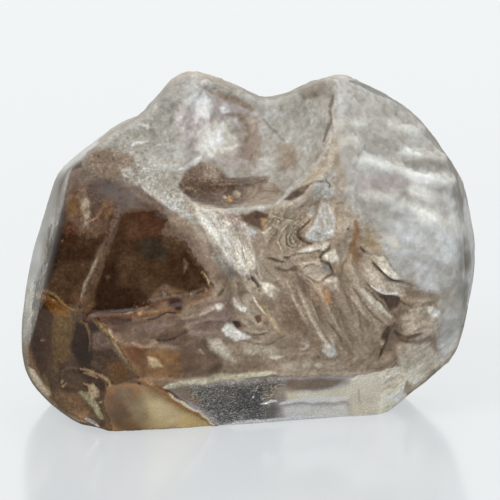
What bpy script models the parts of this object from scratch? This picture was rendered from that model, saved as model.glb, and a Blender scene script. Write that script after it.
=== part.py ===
"""A smoky zircon: one water-worn, broken gem crystal that stands on its flat base.

The stone is described in its face frame: u runs right along the broad face, v up it and w out of it, in
millimetres from the middle of the stone. The face leans back when the stone stands, so the finished skin is
turned by LEAN_DEG, cut flat at the base and scaled to metres, with +Z up.
"""

import math

import bmesh
import bpy
import numpy as np
from mathutils import Matrix, Vector

MM = 0.001
LEAN_DEG = 16.0
BASE_V = -7.485  # where the base plane crosses the middle plane, w = 0

SPHERE_STEPS = 6
SEARCH_REACH = 14.0
SEARCH_STEPS = 24
SKIN_GRAIN = 0.15  # the edge length of the even skin, before its flat stretches are thinned
KEPT_SHARE = 0.09
PULLS = 4
GRADIENT_STEP = 0.01

EDGE_WEAR = 0.30  # how far wear rounds an edge between two facets
SCAR_WEAR = 0.20
SIDE_BULGE = 0.35
SIDE_DEPTH = 4.5
SIDE_MIDDLE = -0.8

# The silhouette of the broad face, clockwise from the left peak: (u, v).
OUTLINE = (
    (-2.70, 7.92), (-3.49, 7.43), (-3.93, 6.81), (-4.77, 5.97), (-5.61, 5.61), (-6.36, 5.13),
    (-7.60, 4.20), (-8.44, 3.40), (-8.75, 2.55), (-9.28, 0.53), (-9.72, -1.40), (-10.00, -3.70),
    (-9.80, -5.26), (-9.10, -6.45), (-7.87, -7.50), (-5.75, -8.60), (0.00, -9.40), (4.60, -8.60),
    (6.36, -7.10), (8.49, -5.39), (9.19, -4.62), (9.60, -3.30), (9.97, -1.00), (9.86, 1.50),
    (9.45, 3.20), (7.91, 5.46), (6.94, 6.36), (5.97, 6.94), (4.50, 7.66), (3.85, 7.76),
    (3.14, 7.47), (1.90, 6.96), (0.60, 6.81), (-0.50, 7.33), (-1.81, 7.80),
)

# Each facet is the plane through three of its points (u, v, w).
FACETS = {
    "window": ((-5.1, 1.8, 5.1), (-7.3, -2.7, 4.7), (-1.4, -1.8, 5.9)),
    "left_cheek": ((-5.1, 1.8, 5.1), (-7.3, -2.7, 4.7), (-8.7, 0.5, 3.4)),
    "left_bevel": ((-8.0, 2.7, 3.0), (-9.45, -3.9, 3.2), (-8.8, 2.6, -0.8)),
    "lower_left": ((-7.3, -2.7, 4.7), (-4.6, -5.4, 5.1), (-9.3, -5.4, 2.6)),
    "foot_wedge": ((-4.33, -6.1, 4.95), (-1.33, -7.82, 1.17), (-5.75, -8.03, 1.90)),
    "bottom_bevel": ((-4.33, -6.1, 4.95), (-1.33, -7.82, 1.17), (5.81, -7.29, -0.68)),
    "low_slope": ((-3.67, -5.97, 4.90), (5.83, -5.39, 2.26), (1.0, -2.9, 4.85)),
    "lower_right": ((5.9, -5.4, 2.20), (9.0, -4.0, 1.1), (6.1, -7.2, -0.6)),
    "right_lobe": ((5.5, 2.0, 5.4), (9.1, 1.0, 3.6), (7.0, -3.4, 4.6)),
    "right_top": ((5.0, 5.0, 4.9), (8.4, 3.4, 3.6), (4.6, 7.4, 3.2)),
    "right_bevel": ((9.3, 2.6, 2.2), (9.4, -3.0, 2.2), (9.95, 0.0, -0.8)),
    "middle": ((0.0, 2.0, 6.1), (4.0, 2.0, 5.8), (2.0, -4.0, 5.7)),
    "lower_middle": ((-3.0, -3.4, 5.6), (5.0, -3.4, 5.5), (1.0, -5.6, 5.15)),
    "shoulder": ((-6.7, 2.6, 4.4), (-3.6, 3.2, 5.5), (-5.6, 5.6, 3.3)),
    "peak": ((-3.7, 3.5, 5.4), (-1.4, 4.5, 5.3), (-2.9, 7.8, 3.1)),
    "back_plate": ((-3.0, 0.0, -4.9), (4.0, -1.0, -5.1), (1.0, 4.5, -4.3)),
    "back_left": ((-4.0, 1.0, -4.8), (-4.6, -4.0, -4.6), (-9.0, -1.5, -2.4)),
    "back_right": ((4.6, 2.0, -4.8), (5.0, -4.0, -4.8), (9.2, 0.0, -2.2)),
    "back_crown": ((-4.0, 4.6, -4.0), (5.0, 4.8, -3.9), (0.5, 7.6, -1.6)),
    "back_foot": ((-5.0, -4.8, -4.6), (5.0, -4.6, -4.6), (0.0, -7.6, -3.9)),
}

# Conchoidal scars, as paraboloid dishes: lowest point (u, v, w), long and short radius of curvature, and
# the angle of the long axis. Those with w below zero are on the back.
DISHES = {
    "bowl": ((-0.2, 6.0, 2.9), 3.1, 3.0, 0.0),
    "bowl_floor": ((-0.8, 2.75, 4.45), 2.9, 0.5, 2.0),
    "fan": ((0.7, -0.3, 5.05), 9.0, 1.4, -62.0),
    "fold_hollow": ((3.0, 0.4, 5.00), 3.4, 2.4, 70.0),
    "blade_hollow": ((5.4, -1.5, 4.10), 3.0, 2.2, -40.0),
    "low_hollow": ((2.4, -3.2, 4.2), 6.0, 2.6, -50.0),
    "peak_chip": ((-5.6, 5.1, 3.3), 8.0, 2.4, 42.0),
    "shoulder_chip": ((-4.4, 3.6, 4.75), 2.6, 1.2, 150.0),
    "back_bowl": ((-1.5, 2.4, -3.9), 6.0, 4.2, 30.0),
    "back_chip": ((4.6, -3.0, -3.8), 4.0, 2.8, -50.0),
}

# Raised crests and sunken gullies: path (u, v), height and half width.
CRESTS = {
    "bowl_rim": (
        ((-3.6, 3.1), (-2.7, 2.2), (-1.6, 1.7), (0.1, 1.65), (1.2, 1.95), (2.5, 3.1), (3.6, 4.9)),
        0.13,
        0.25,
    ),
    "window_seam": (((-5.3, 1.5), (-7.2, -2.6)), 0.07, 0.22),
    "corner_seam": (((-6.9, -3.0), (-5.2, -4.6), (-4.7, -5.5)), 0.07, 0.14),
    "fan_crest": (((-2.2, 1.5), (-0.6, -0.1), (0.7, -1.8)), 0.16, 0.45),
    "stair_1": (((2.0, -1.4), (2.5, -2.4), (2.9, -3.1), (3.7, -4.3)), 0.10, 0.24),
    "stair_2": (((0.1, -1.8), (0.7, -2.8), (1.5, -3.5)), 0.10, 0.22),
    "stair_3": (((3.9, -1.6), (4.5, -2.9), (5.3, -4.0)), 0.09, 0.28),
    "gully": (((6.4, -2.2), (6.9, -3.0), (6.6, -3.8), (6.0, -4.4)), -0.26, 0.32),
    "knob": (((7.3, -2.9), (7.5, -3.4)), 0.34, 0.75),
    "fold_lens": (((2.6, 0.9), (3.5, 0.8)), 0.22, 0.34),
    "fold_lens_low": (((3.2, -0.4), (3.7, -1.0)), 0.20, 0.24),
}

# Ledges: a path with the high ground on its left hand, the drop across it, and how far the high ground
# runs back.
LEDGES = {
    "window_ledge": (((-1.5, -1.7), (-2.6, -2.2), (-3.9, -2.6), (-6.6, -2.85)), 0.28, 1.3),
    "blade_1": (((5.3, -0.2), (6.1, -1.0), (7.2, -1.6)), 0.28, 0.55),
    "blade_2": (((5.0, -0.9), (5.8, -1.8), (6.8, -2.4)), 0.26, 0.50),
    "blade_3": (((4.8, -1.6), (5.5, -2.6), (6.1, -3.1)), 0.18, 0.50),
    "rim_undercut": (((2.9, 3.0), (1.9, 2.0), (0.7, 1.5), (-0.8, 1.35)), 0.26, 0.6),
    "fold_step": (((4.0, 2.6), (3.6, 1.6), (4.0, 0.2)), 0.22, 0.7),
}

# Ribs on the right lobe fan out of one point, each at (degrees below level, height, half width in degrees).
RIB_ORIGIN = (0.6, 5.1)
RIBS = (
    (-2.0, 0.07, 1.7), (8.0, 0.10, 1.9), (15.0, 0.19, 2.2),
    (20.5, 0.08, 1.5), (28.0, 0.18, 2.2), (35.0, 0.07, 1.7),
)
RIBS_START, RIBS_FULL = 4.6, 7.0
RIBS_SINK, RIBS_END = 8.6, 9.6  # they die out towards the right-hand bevel

STEP_WIDTH = 0.18
END_FADE = 0.35
FRONT_FROM, FRONT_FULL = 1.0, 2.6

# Lumps of the broken ground: many waves of mixed length and heading, which leave no pattern.
LUMP_SEED = 11
LUMP_WAVES = 26
LUMP_LENGTHS = (1.1, 3.6)
LUMP_HEIGHT = 0.020


def smooth_max(first, second, wear):
    """The higher of two distances, rounded over the given wear where they cross."""
    mix = np.clip(0.5 + 0.5 * (first - second) / wear, 0.0, 1.0)
    return second * (1.0 - mix) + first * mix + wear * mix * (1.0 - mix)


def ramp(values, low, high):
    """0 below low, 1 above high, and smooth between."""
    t = np.clip((values - low) / (high - low), 0.0, 1.0)
    return t * t * (3.0 - 2.0 * t)


def spline_loop(corners, steps=12):
    """A closed Catmull-Rom curve through the corners."""
    corners = np.array(corners)
    p0, p1, p2, p3 = (np.roll(corners, shift, axis=0)[:, None, :] for shift in (1, 0, -1, -2))
    t = np.linspace(0.0, 1.0, steps, endpoint=False)[None, :, None]
    bend = (2 * p0 - 5 * p1 + 4 * p2 - p3) * t**2 + (3 * p1 - p0 - 3 * p2 + p3) * t**3
    return (p1 + 0.5 * ((p2 - p0) * t + bend)).reshape(-1, 2)


def outline_radius(u, v):
    """How far the silhouette lies from the middle, in the direction of each (u, v)."""
    loop = spline_loop(OUTLINE)
    angles, radii = np.arctan2(loop[:, 1], loop[:, 0]), np.hypot(loop[:, 0], loop[:, 1])
    order = np.argsort(angles)
    return np.interp(np.arctan2(v, u), angles[order], radii[order], period=math.tau)


def facet_distance(points, facet):
    """How far each point lies outside a facet's plane. The middle of the stone is inside every facet."""
    first, second, third = np.array(facet)
    normal = np.cross(second - first, third - first)
    normal *= np.sign(normal @ first) / np.linalg.norm(normal)
    return (points - first) @ normal


def dish_distance(points, dish):
    """Roughly how far each point lies outside the ground that is left under a dish."""
    lowest, long_radius, short_radius, angle = dish
    offset = points - np.array(lowest)
    c, s = math.cos(math.radians(angle)), math.sin(math.radians(angle))
    along, across = offset[:, 0] * c + offset[:, 1] * s, offset[:, 1] * c - offset[:, 0] * s
    rise = along**2 / (2 * long_radius) + across**2 / (2 * short_radius)
    steepness = np.sqrt(1 + (along / long_radius) ** 2 + (across / short_radius) ** 2)
    return (math.copysign(1.0, lowest[2]) * offset[:, 2] - rise) / steepness


def path_distance(u, v, path):
    """The distance to a path, its side (1 on the left hand, -1 on the right), and how far past its ends."""
    nearest, side, past = np.full_like(u, np.inf), np.zeros_like(u), np.zeros_like(u)
    for index, ((u0, v0), (u1, v1)) in enumerate(zip(path, path[1:])):
        du, dv = u1 - u0, v1 - v0
        length = math.hypot(du, dv)
        share = ((u - u0) * du + (v - v0) * dv) / length**2
        held = np.clip(share, 0.0, 1.0)
        gap = np.hypot(u - u0 - held * du, v - v0 - held * dv)
        before = np.maximum(-share, 0.0) if index == 0 else 0.0
        beyond = np.maximum(share - 1.0, 0.0) if index == len(path) - 2 else 0.0
        closer = gap < nearest
        side = np.where(closer, np.sign(du * (v - v0) - dv * (u - u0)), side)
        past = np.where(closer, (before + beyond) * length, past)
        nearest = np.minimum(nearest, gap)
    return nearest, side, past


def crest_height(u, v, crest):
    path, height, half_width = crest
    nearest, _, _ = path_distance(u, v, path)
    return height * np.exp(-((nearest / half_width) ** 2))


def ledge_height(u, v, ledge):
    """A sharp step up across the path. The high ground sinks back with distance, and both ends fade."""
    path, drop, run_back = ledge
    nearest, side, past = path_distance(u, v, path)
    left = side * np.sqrt(np.maximum(nearest**2 - past**2, 0.0))
    step = ramp(left, -STEP_WIDTH, STEP_WIDTH) * np.exp(-np.maximum(left, 0.0) / run_back)
    return drop * step * np.exp(-((past / END_FADE) ** 2))


def rib_height(u, v):
    along, below = u - RIB_ORIGIN[0], RIB_ORIGIN[1] - v
    angle = np.degrees(np.arctan2(below, along))
    ribs = sum(height * np.exp(-(((angle - at) / half_width) ** 2)) for at, height, half_width in RIBS)
    return ribs * ramp(np.hypot(along, below), RIBS_START, RIBS_FULL) * (1.0 - ramp(u, RIBS_SINK, RIBS_END))


def front_relief(u, v):
    crests = sum(crest_height(u, v, crest) for crest in CRESTS.values())
    ledges = sum(ledge_height(u, v, ledge) for ledge in LEDGES.values())
    return crests + ledges + rib_height(u, v)


def lump_height(points):
    chance = np.random.default_rng(LUMP_SEED)
    headings = chance.normal(size=(LUMP_WAVES, 3))
    headings /= np.linalg.norm(headings, axis=1)[:, None]
    waves = headings * math.tau / chance.uniform(*LUMP_LENGTHS, (LUMP_WAVES, 1))
    starts = chance.uniform(0.0, math.tau, LUMP_WAVES)
    return LUMP_HEIGHT * np.sin(points @ waves.T + starts).sum(axis=1) / math.sqrt(LUMP_WAVES / 4)


def field(points):
    """Below zero inside the stone and above zero outside it, in millimetres near its skin."""
    u, v, w = points.T
    solid = np.hypot(u, v) - outline_radius(u, v) + SIDE_BULGE * ((w - SIDE_MIDDLE) / SIDE_DEPTH) ** 2
    for facet in FACETS.values():
        solid = smooth_max(solid, facet_distance(points, facet), EDGE_WEAR)
    lumps = lump_height(points)
    for dish in DISHES.values():
        on_side = w * dish[0][2] > 0
        broken = dish_distance(points, dish) - lumps
        solid = np.where(on_side, smooth_max(solid, broken, SCAR_WEAR), solid)
    return solid - front_relief(u, v) * ramp(w, FRONT_FROM, FRONT_FULL)


def skin_points(directions):
    """Where a ray from the middle along each direction leaves the stone."""
    near, far = np.zeros(len(directions)), np.full(len(directions), SEARCH_REACH)
    for _ in range(SEARCH_STEPS):
        reach = (near + far) / 2
        outside = field(directions * reach[:, None]) > 0
        far = np.where(outside, reach, far)
        near = np.where(outside, near, reach)
    return directions * near[:, None]


def pulled_on(points):
    """Points near the skin, moved on to it along the field's slope."""
    for _ in range(PULLS):
        value = field(points)
        steps = [field(points + GRADIENT_STEP * axis) - value for axis in np.eye(3)]
        slope = np.stack(steps, axis=1) / GRADIENT_STEP
        points = points - value[:, None] * slope / np.maximum((slope**2).sum(axis=1), 0.1)[:, None]
    return points


def clear_scene():
    for old in list(bpy.data.objects):
        bpy.data.objects.remove(old, do_unlink=True)


def add_object(name, bm):
    mesh = bpy.data.meshes.new(name)
    bm.to_mesh(mesh)
    bm.free()
    made = bpy.data.objects.new(name, mesh)
    bpy.context.scene.collection.objects.link(made)
    return made


def after_modifier(source, kind, **settings):
    """A bmesh of the object with one modifier applied. The object is removed."""
    modifier = source.modifiers.new(kind, kind)
    for name, value in settings.items():
        setattr(modifier, name, value)
    evaluated = source.evaluated_get(bpy.context.evaluated_depsgraph_get())
    bm = bmesh.new()
    bm.from_mesh(evaluated.to_mesh())
    evaluated.to_mesh_clear()
    bpy.data.objects.remove(source)
    return bm


def place(bm, shape):
    """Moves every vertex to where shape puts it."""
    for vertex, target in zip(bm.verts, shape(np.array([vertex.co for vertex in bm.verts]))):
        vertex.co = target
    return bm


def stone_skin():
    """The skin in the face frame: a sphere blown out to the surface, made even, then thinned on flats."""
    bm = bmesh.new()
    bmesh.ops.create_icosphere(bm, subdivisions=SPHERE_STEPS, radius=1.0)
    blown = add_object("blown", place(bm, skin_points))
    even = place(after_modifier(blown, "REMESH", mode="VOXEL", voxel_size=SKIN_GRAIN), pulled_on)
    return after_modifier(add_object("even", even), "DECIMATE", ratio=KEPT_SHARE)


def stand_on_base(bm):
    """Leans the stone back, cuts its base flat, and puts the origin under the middle of its box."""
    lean = math.radians(LEAN_DEG)
    right, up = Vector((1, 0, 0)), Vector((0, math.sin(lean), math.cos(lean)))
    out = Vector((0, -math.cos(lean), math.sin(lean)))
    turn = Matrix((right, up, out)).transposed()
    bmesh.ops.transform(bm, matrix=turn.to_4x4(), verts=bm.verts)
    base = Vector((0, 0, BASE_V * math.cos(lean)))
    everything = [*bm.verts, *bm.edges, *bm.faces]
    cut = bmesh.ops.bisect_plane(bm, geom=everything, plane_co=base, plane_no=(0, 0, -1), clear_outer=True)
    rim = [piece for piece in cut["geom_cut"] if isinstance(piece, bmesh.types.BMEdge)]
    bmesh.ops.edgeloop_fill(bm, edges=rim)
    low = Vector(min(vertex.co[axis] for vertex in bm.verts) for axis in range(3))
    high = Vector(max(vertex.co[axis] for vertex in bm.verts) for axis in range(3))
    middle = (low + high) / 2
    bmesh.ops.translate(bm, vec=(-middle.x, -middle.y, -base.z), verts=bm.verts)
    bmesh.ops.scale(bm, vec=(MM, MM, MM), verts=bm.verts)
    bmesh.ops.recalc_face_normals(bm, faces=bm.faces)
    return bm


def smoky_zircon():
    material = bpy.data.materials.new("smoky_zircon")
    material.use_nodes = True
    shader = material.node_tree.nodes["Principled BSDF"]
    shader.inputs["Base Color"].default_value = (0.42, 0.33, 0.27, 1.0)
    shader.inputs["Roughness"].default_value = 0.35
    shader.inputs["Metallic"].default_value = 0.0
    shader.inputs["IOR"].default_value = 1.93
    shader.inputs["Transmission Weight"].default_value = 0.6
    return material


def main():
    clear_scene()
    stone = add_object("zircon", stand_on_base(stone_skin()))
    stone.data.materials.append(smoky_zircon())


main()
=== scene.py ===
# %% [markdown]
# # A smoky zircon, broken and water-worn
# The stone is one crystal. On its left it keeps clear, polished faces, through which smoky brown crystal
# shows. The middle was knocked out, and has a shell-shaped bowl and sharp, folded fracture ground. The
# right-hand lobe is frosted by wear and ribbed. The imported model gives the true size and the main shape.
# This script lays a much finer skin over it and gives that skin its colours and finishes.

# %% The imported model
import math

import bmesh
import bpy
import numpy as np
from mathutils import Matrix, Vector
from mathutils.bvhtree import BVHTree


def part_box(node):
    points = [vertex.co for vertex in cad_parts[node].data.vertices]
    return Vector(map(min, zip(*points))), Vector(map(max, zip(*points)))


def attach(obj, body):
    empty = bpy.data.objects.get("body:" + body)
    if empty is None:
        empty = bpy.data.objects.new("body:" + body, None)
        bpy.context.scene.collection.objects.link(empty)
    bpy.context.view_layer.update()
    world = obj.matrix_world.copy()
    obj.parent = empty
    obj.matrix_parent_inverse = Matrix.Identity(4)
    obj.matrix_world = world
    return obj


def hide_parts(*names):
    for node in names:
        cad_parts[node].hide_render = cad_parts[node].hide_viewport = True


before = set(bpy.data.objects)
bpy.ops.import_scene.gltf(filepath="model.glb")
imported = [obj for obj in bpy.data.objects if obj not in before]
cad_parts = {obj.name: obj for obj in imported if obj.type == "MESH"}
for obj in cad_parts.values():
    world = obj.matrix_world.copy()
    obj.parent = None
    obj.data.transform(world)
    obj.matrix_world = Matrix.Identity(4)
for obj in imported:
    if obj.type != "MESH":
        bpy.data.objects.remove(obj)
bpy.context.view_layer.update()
stone_low, stone_high = (np.array(corner) * 1000 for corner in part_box("zircon"))
print("the stone, in mm:", (stone_high - stone_low).round(2))

# %% [markdown]
# ## The face frame
# Every mark on the stone is easiest to place on its broad face. So places are given in millimetres as u,
# to the right along the face, v, up the face, and w, out of it. The stone leans back by 16 degrees.

# %% Face frame and world frame
LEAN = math.radians(16.0)
FACE_MIDDLE = np.array((0.029, 0.584, 7.195))  # the face frame's origin, in millimetres
FACE_AXES = np.array((
    (1.0, 0.0, 0.0),
    (0.0, math.sin(LEAN), math.cos(LEAN)),
    (0.0, -math.cos(LEAN), math.sin(LEAN)),
))
STEP = 0.05  # millimetres


def at(*steps):
    """Places on the face in millimetres, from pairs of steps to the right and up."""
    return np.array(steps).reshape(-1, 2) * STEP


# %% [markdown]
# ## The camera
# The camera looks straight at the leaning face. A long lens keeps the far and near parts of so small a
# stone at nearly the same scale.

# %% Camera
LENS_LENGTH, SENSOR = 500.0, 36.0  # millimetres
FRAME_WIDTH = 22.1  # how much of the stone's surroundings the frame takes in, in millimetres
LOOK_AT = (0.088, 0.0)  # the frame's middle, as u and v
SHARP_DEPTH = 1.5  # the depth w at which the frame is FRAME_WIDTH wide
camera_reach = SHARP_DEPTH + LENS_LENGTH / SENSOR * FRAME_WIDTH

camera = bpy.data.objects.new("camera", bpy.data.cameras.new("camera"))
bpy.context.scene.collection.objects.link(camera)
camera.data.lens, camera.data.sensor_width = LENS_LENGTH, SENSOR
camera.data.clip_start, camera.data.clip_end = 0.01, 5.0
camera.location = (np.array((*LOOK_AT, camera_reach)) @ FACE_AXES + FACE_MIDDLE) / 1000
camera.rotation_euler = (math.pi / 2 - LEAN, 0.0, 0.0)
bpy.context.scene.camera = camera
print("camera at", [round(value, 4) for value in camera.location], "metres")

# %% [markdown]
# ## Nodes in short
# The floor, the light, the finishes and the ribs are all made of nodes. One small class adds them.
# Wherever it takes a value, a number or a colour sets the socket, and a (node, output) pair is joined to
# it.


# %% A class that adds nodes
class Nodes:
    """Adds nodes to one tree; each method gives back a (node, output) pair."""

    def __init__(self, tree):
        self.tree = tree

    def feed(self, node, inputs):
        """Sets or joins a node's inputs."""
        for socket, value in inputs.items():
            if isinstance(value, tuple) and isinstance(value[0], bpy.types.Node):
                self.tree.links.new(value[0].outputs[value[1]], node.inputs[socket])
            elif value is not None:
                node.inputs[socket].default_value = value

    def add(self, kind, output, inputs=None, **settings):
        """A new node with its settings and inputs."""
        node = self.tree.nodes.new(kind)
        for title, value in settings.items():
            setattr(node, title, value)
        self.feed(node, inputs or {})
        return node, output

    def maths(self, operation, first, second=None, third=None, **settings):
        """A maths node."""
        inputs = {0: first, 1: second, 2: third}
        return self.add("ShaderNodeMath", "Value", inputs, operation=operation, **settings)

    def product(self, *factors):
        """The product of several values."""
        total = factors[0]
        for factor in factors[1:]:
            total = self.maths("MULTIPLY", total, factor)
        return total

    def vectors(self, operation, first, second):
        """A vector maths node."""
        slot = "Scale" if operation == "SCALE" else 1
        output = "Value" if operation == "DOT_PRODUCT" else "Vector"
        return self.add("ShaderNodeVectorMath", output, {0: first, slot: second}, operation=operation)

    def mix_shaders(self, share, first, second):
        """The first shader going over to the second one."""
        return self.add("ShaderNodeMixShader", "Shader", {"Fac": share, 1: first, 2: second})

    def noise(self, where, scale, output="Fac", **inputs):
        """Noise at a place."""
        return self.add("ShaderNodeTexNoise", output, {"Vector": where, "Scale": scale, **inputs})

    def cells(self, where, scale, **settings):
        """The distance to the middle of random cells, or to their edges."""
        return self.add("ShaderNodeTexVoronoi", "Distance", {"Vector": where, "Scale": scale}, **settings)

    def fade(self, source, low, high, at_low=0.0, at_high=1.0):
        """A smooth change from at_low to at_high while the source runs from low to high."""
        inputs = {"Value": source, "From Min": low, "From Max": high, "To Min": at_low, "To Max": at_high}
        return self.add("ShaderNodeMapRange", "Result", inputs, interpolation_type="SMOOTHSTEP")

    def blend(self, share, first, second):
        """The first colour going over to the second one."""
        return self.add("ShaderNodeMix", "Result", {0: share, 6: first, 7: second}, data_type="RGBA")


def node_group(name, inputs, outputs):
    """An empty shader group with named sockets: its nodes, its input node and its output node."""
    group = bpy.data.node_groups.new(name, "ShaderNodeTree")
    for title, kind, value in inputs:
        group.interface.new_socket(name=title, in_out="INPUT", socket_type=kind).default_value = value
    for title, kind in outputs:
        group.interface.new_socket(name=title, in_out="OUTPUT", socket_type=kind)
    return Nodes(group), group.nodes.new("NodeGroupInput"), group.nodes.new("NodeGroupOutput")


# %% [markdown]
# ## Floor and light
# A clear stone only looks clear if there is something to see through it and in it. It stands on a pale,
# faintly glossy sheet that is lit from below, as on a light table, so its shadow stays soft. Around it is
# a light tent: a soft white world that is brighter above and behind than in front, so the polished faces
# that look at the camera stay dark.

# %% Floor
FLOOR_SIZE = 3.0
floor_bm = bmesh.new()
bmesh.ops.create_grid(floor_bm, x_segments=1, y_segments=1, size=FLOOR_SIZE / 2)
floor = bpy.data.objects.new("floor", bpy.data.meshes.new("floor"))
floor_bm.to_mesh(floor.data)
floor_bm.free()
bpy.context.scene.collection.objects.link(floor)
floor_material = bpy.data.materials.new("white_sheet")
floor_material.use_nodes = True
sheet = Nodes(floor_material.node_tree)
sheet_shader = sheet.tree.nodes["Principled BSDF"]
sheet.feed(sheet_shader, {
    "Base Color": (0.08, 0.084, 0.088, 1.0),
    "Roughness": 0.16,
    "Specular IOR Level": 0.45,
    "Emission Color": (0.94, 0.98, 1.0, 1.0),
    "Emission Strength": 0.565,
})
card = sheet.add("ShaderNodeBsdfDiffuse", "BSDF", {"Color": (0.10, 0.10, 0.10, 1.0)})
rays = sheet.tree.nodes.new("ShaderNodeLightPath")
mirrored, refracted = (rays, "Is Glossy Ray"), (rays, "Is Transmission Ray")
mirrored_only = sheet.maths("SUBTRACT", mirrored, refracted, use_clamp=True)
sheet_or_card = sheet.mix_shaders(mirrored_only, (sheet_shader, "BSDF"), card)
sheet.feed(sheet.tree.nodes["Material Output"], {"Surface": sheet_or_card})
floor.data.materials.append(floor_material)

# %% World and lamps
BRIGHT_WAY = (0.0, 0.75, 0.55)  # the tent is brightest above and behind
world = bpy.data.worlds.new("light_tent")
world.use_nodes = True
bpy.context.scene.world = world
tent = Nodes(world.node_tree)
facing = tent.add("ShaderNodeTexCoord", "Generated")
tilt = tent.vectors("DOT_PRODUCT", facing, BRIGHT_WAY)
spread = tent.add("ShaderNodeMapRange", "Result", {"Value": tilt, "From Min": -1.0, "From Max": 1.0})


def tent_shades(dark_until, dark, bright_from, bright):
    """A ramp from the tent's front, which is 0, to its back and top, which are 1."""
    ramp_node, output = tent.add("ShaderNodeValToRGB", "Color", {"Fac": spread})
    ends = ((dark_until, dark), (bright_from, bright))
    for element, (position, colour) in zip(ramp_node.color_ramp.elements, ends):
        element.position, element.color = position, (*colour, 1.0)
    return ramp_node, output


TENT_WHITE = (1.0, 0.99, 0.96)
tent_light = tent_shades(0.0, (0.10, 0.10, 0.10), 0.9, TENT_WHITE)
tent_mirrored = tent_shades(0.44, (0.015, 0.014, 0.012), 0.85, TENT_WHITE)
rays = tent.tree.nodes.new("ShaderNodeLightPath")
sky = tent.tree.nodes["Background"]
tent.feed(sky, {"Color": tent.blend((rays, "Is Glossy Ray"), tent_light, tent_mirrored)})
seen_sky = tent.add("ShaderNodeBackground", "Background", {"Color": (0.86, 0.90, 0.94, 1.0)})
tent_or_seen_sky = tent.mix_shaders((rays, "Is Camera Ray"), (sky, "Background"), seen_sky)
tent.feed(tent.tree.nodes["World Output"], {"Surface": tent_or_seen_sky})
bpy.context.scene.view_settings.view_transform = "Standard"


def soft_lamp(name, place, target, size, watts):
    """A large square lamp at a place in metres that shines at a target, and isn't mirrored in the stone."""
    lamp = bpy.data.objects.new(name, bpy.data.lights.new(name, "AREA"))
    lamp.data.energy, lamp.data.size = watts, size
    lamp.location = place
    lamp.rotation_mode = "QUATERNION"
    lamp.rotation_quaternion = (Vector(target) - Vector(place)).to_track_quat("-Z", "Y")
    lamp.visible_glossy = False
    lamp.visible_transmission = False
    bpy.context.scene.collection.objects.link(lamp)


soft_lamp("key", (-0.22, -0.26, 0.36), (0.0, 0.0, 0.0), 0.22, 2.2)
soft_lamp("overhead", (0.06, 0.08, 0.40), (0.0, 0.0, 0.0), 0.25, 0.6)
soft_lamp("front_card", (-0.04, -0.40, 0.04), (0.0, 0.0, 0.005), 0.20, 1.6)

# %% [markdown]
# ## The two finishes
# One crystal, two finishes. The polished faces are clear: most light goes through them. The broken and
# worn ground is frosted, and its rough skin turns most of the light back. Both have zircon's high
# refraction and the same smoky absorption inside. A grain group gives each its finest speckle, too small
# for the mesh.

# %% Grain group
grain, grain_in, grain_out = node_group(
    "fine_grain",
    (
        ("Tone", "NodeSocketColor", (0.5, 0.5, 0.5, 1.0)),
        ("Frost", "NodeSocketFloat", 1.0),
        ("Grit", "NodeSocketFloat", 1.0),
        ("Grains per metre", "NodeSocketFloat", 9000.0),
        ("Contrast", "NodeSocketFloat", 0.3),
        ("Dust", "NodeSocketFloat", 0.3),
        ("Smoothest", "NodeSocketFloat", 0.2),
        ("Roughest", "NodeSocketFloat", 0.5),
    ),
    (("Tone", "NodeSocketColor"), ("Roughness", "NodeSocketFloat"), ("Height", "NodeSocketFloat")),
)
FLECK_SHIFT = (0.31, 0.17, 0.53)  # takes the flecks to another part of the noise
frosting, grains_per_metre = (grain_in, "Frost"), (grain_in, "Grains per metre")
place = grain.add("ShaderNodeTexCoord", "Object")
grains = grain.noise(place, grains_per_metre, Detail=3.0, Roughness=0.7)
middle = grain.maths("SUBTRACT", grains, 0.5)
swing = grain.product(middle, grain.product((grain_in, "Grit"), (grain_in, "Contrast")), 5.0)
speckled = grain.vectors("SCALE", (grain_in, "Tone"), grain.maths("EXPONENT", swing))

shifted = grain.vectors("ADD", place, FLECK_SHIFT)
flecks = grain.noise(shifted, grain.product(grains_per_metre, 0.7), Detail=2.0, Roughness=0.8)
fleck_sharp = grain.maths("MULTIPLY", grain.maths("SUBTRACT", flecks, 0.60), 12.0, use_clamp=True)
fleck = grain.product(fleck_sharp, grain.product(frosting, (grain_in, "Dust")))
dusted = grain.vectors("SCALE", speckled, grain.maths("ADD", fleck, 1.0))

rough_span = grain.maths("SUBTRACT", (grain_in, "Roughest"), (grain_in, "Smoothest"))
rough_base = grain.maths("ADD", grain.product(rough_span, frosting), (grain_in, "Smoothest"))
rough = grain.maths("ADD", rough_base, grain.product(middle, 0.25), use_clamp=True)
grain_height = grain.product(grains, grain.maths("MULTIPLY_ADD", frosting, 0.94, 0.06))
grain.feed(grain_out, {"Tone": dusted, "Roughness": rough, "Height": grain_height})
print("fine grain:", len(grain.tree.nodes), "nodes")

# %% [markdown]
# ## The old skin of the sides and the back
# Away from the broken front the skin is old. Healed cracks cross it as thin pale lines, iron has stained
# some of them, growth lines run along the crystal, and smoky clouds show where the skin is still clear.
# None of this follows a drawing, so it comes from textures in the stone's own space. A value of the mesh
# says how far each point lies off the front, and so how much of the old skin it shows.

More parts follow.
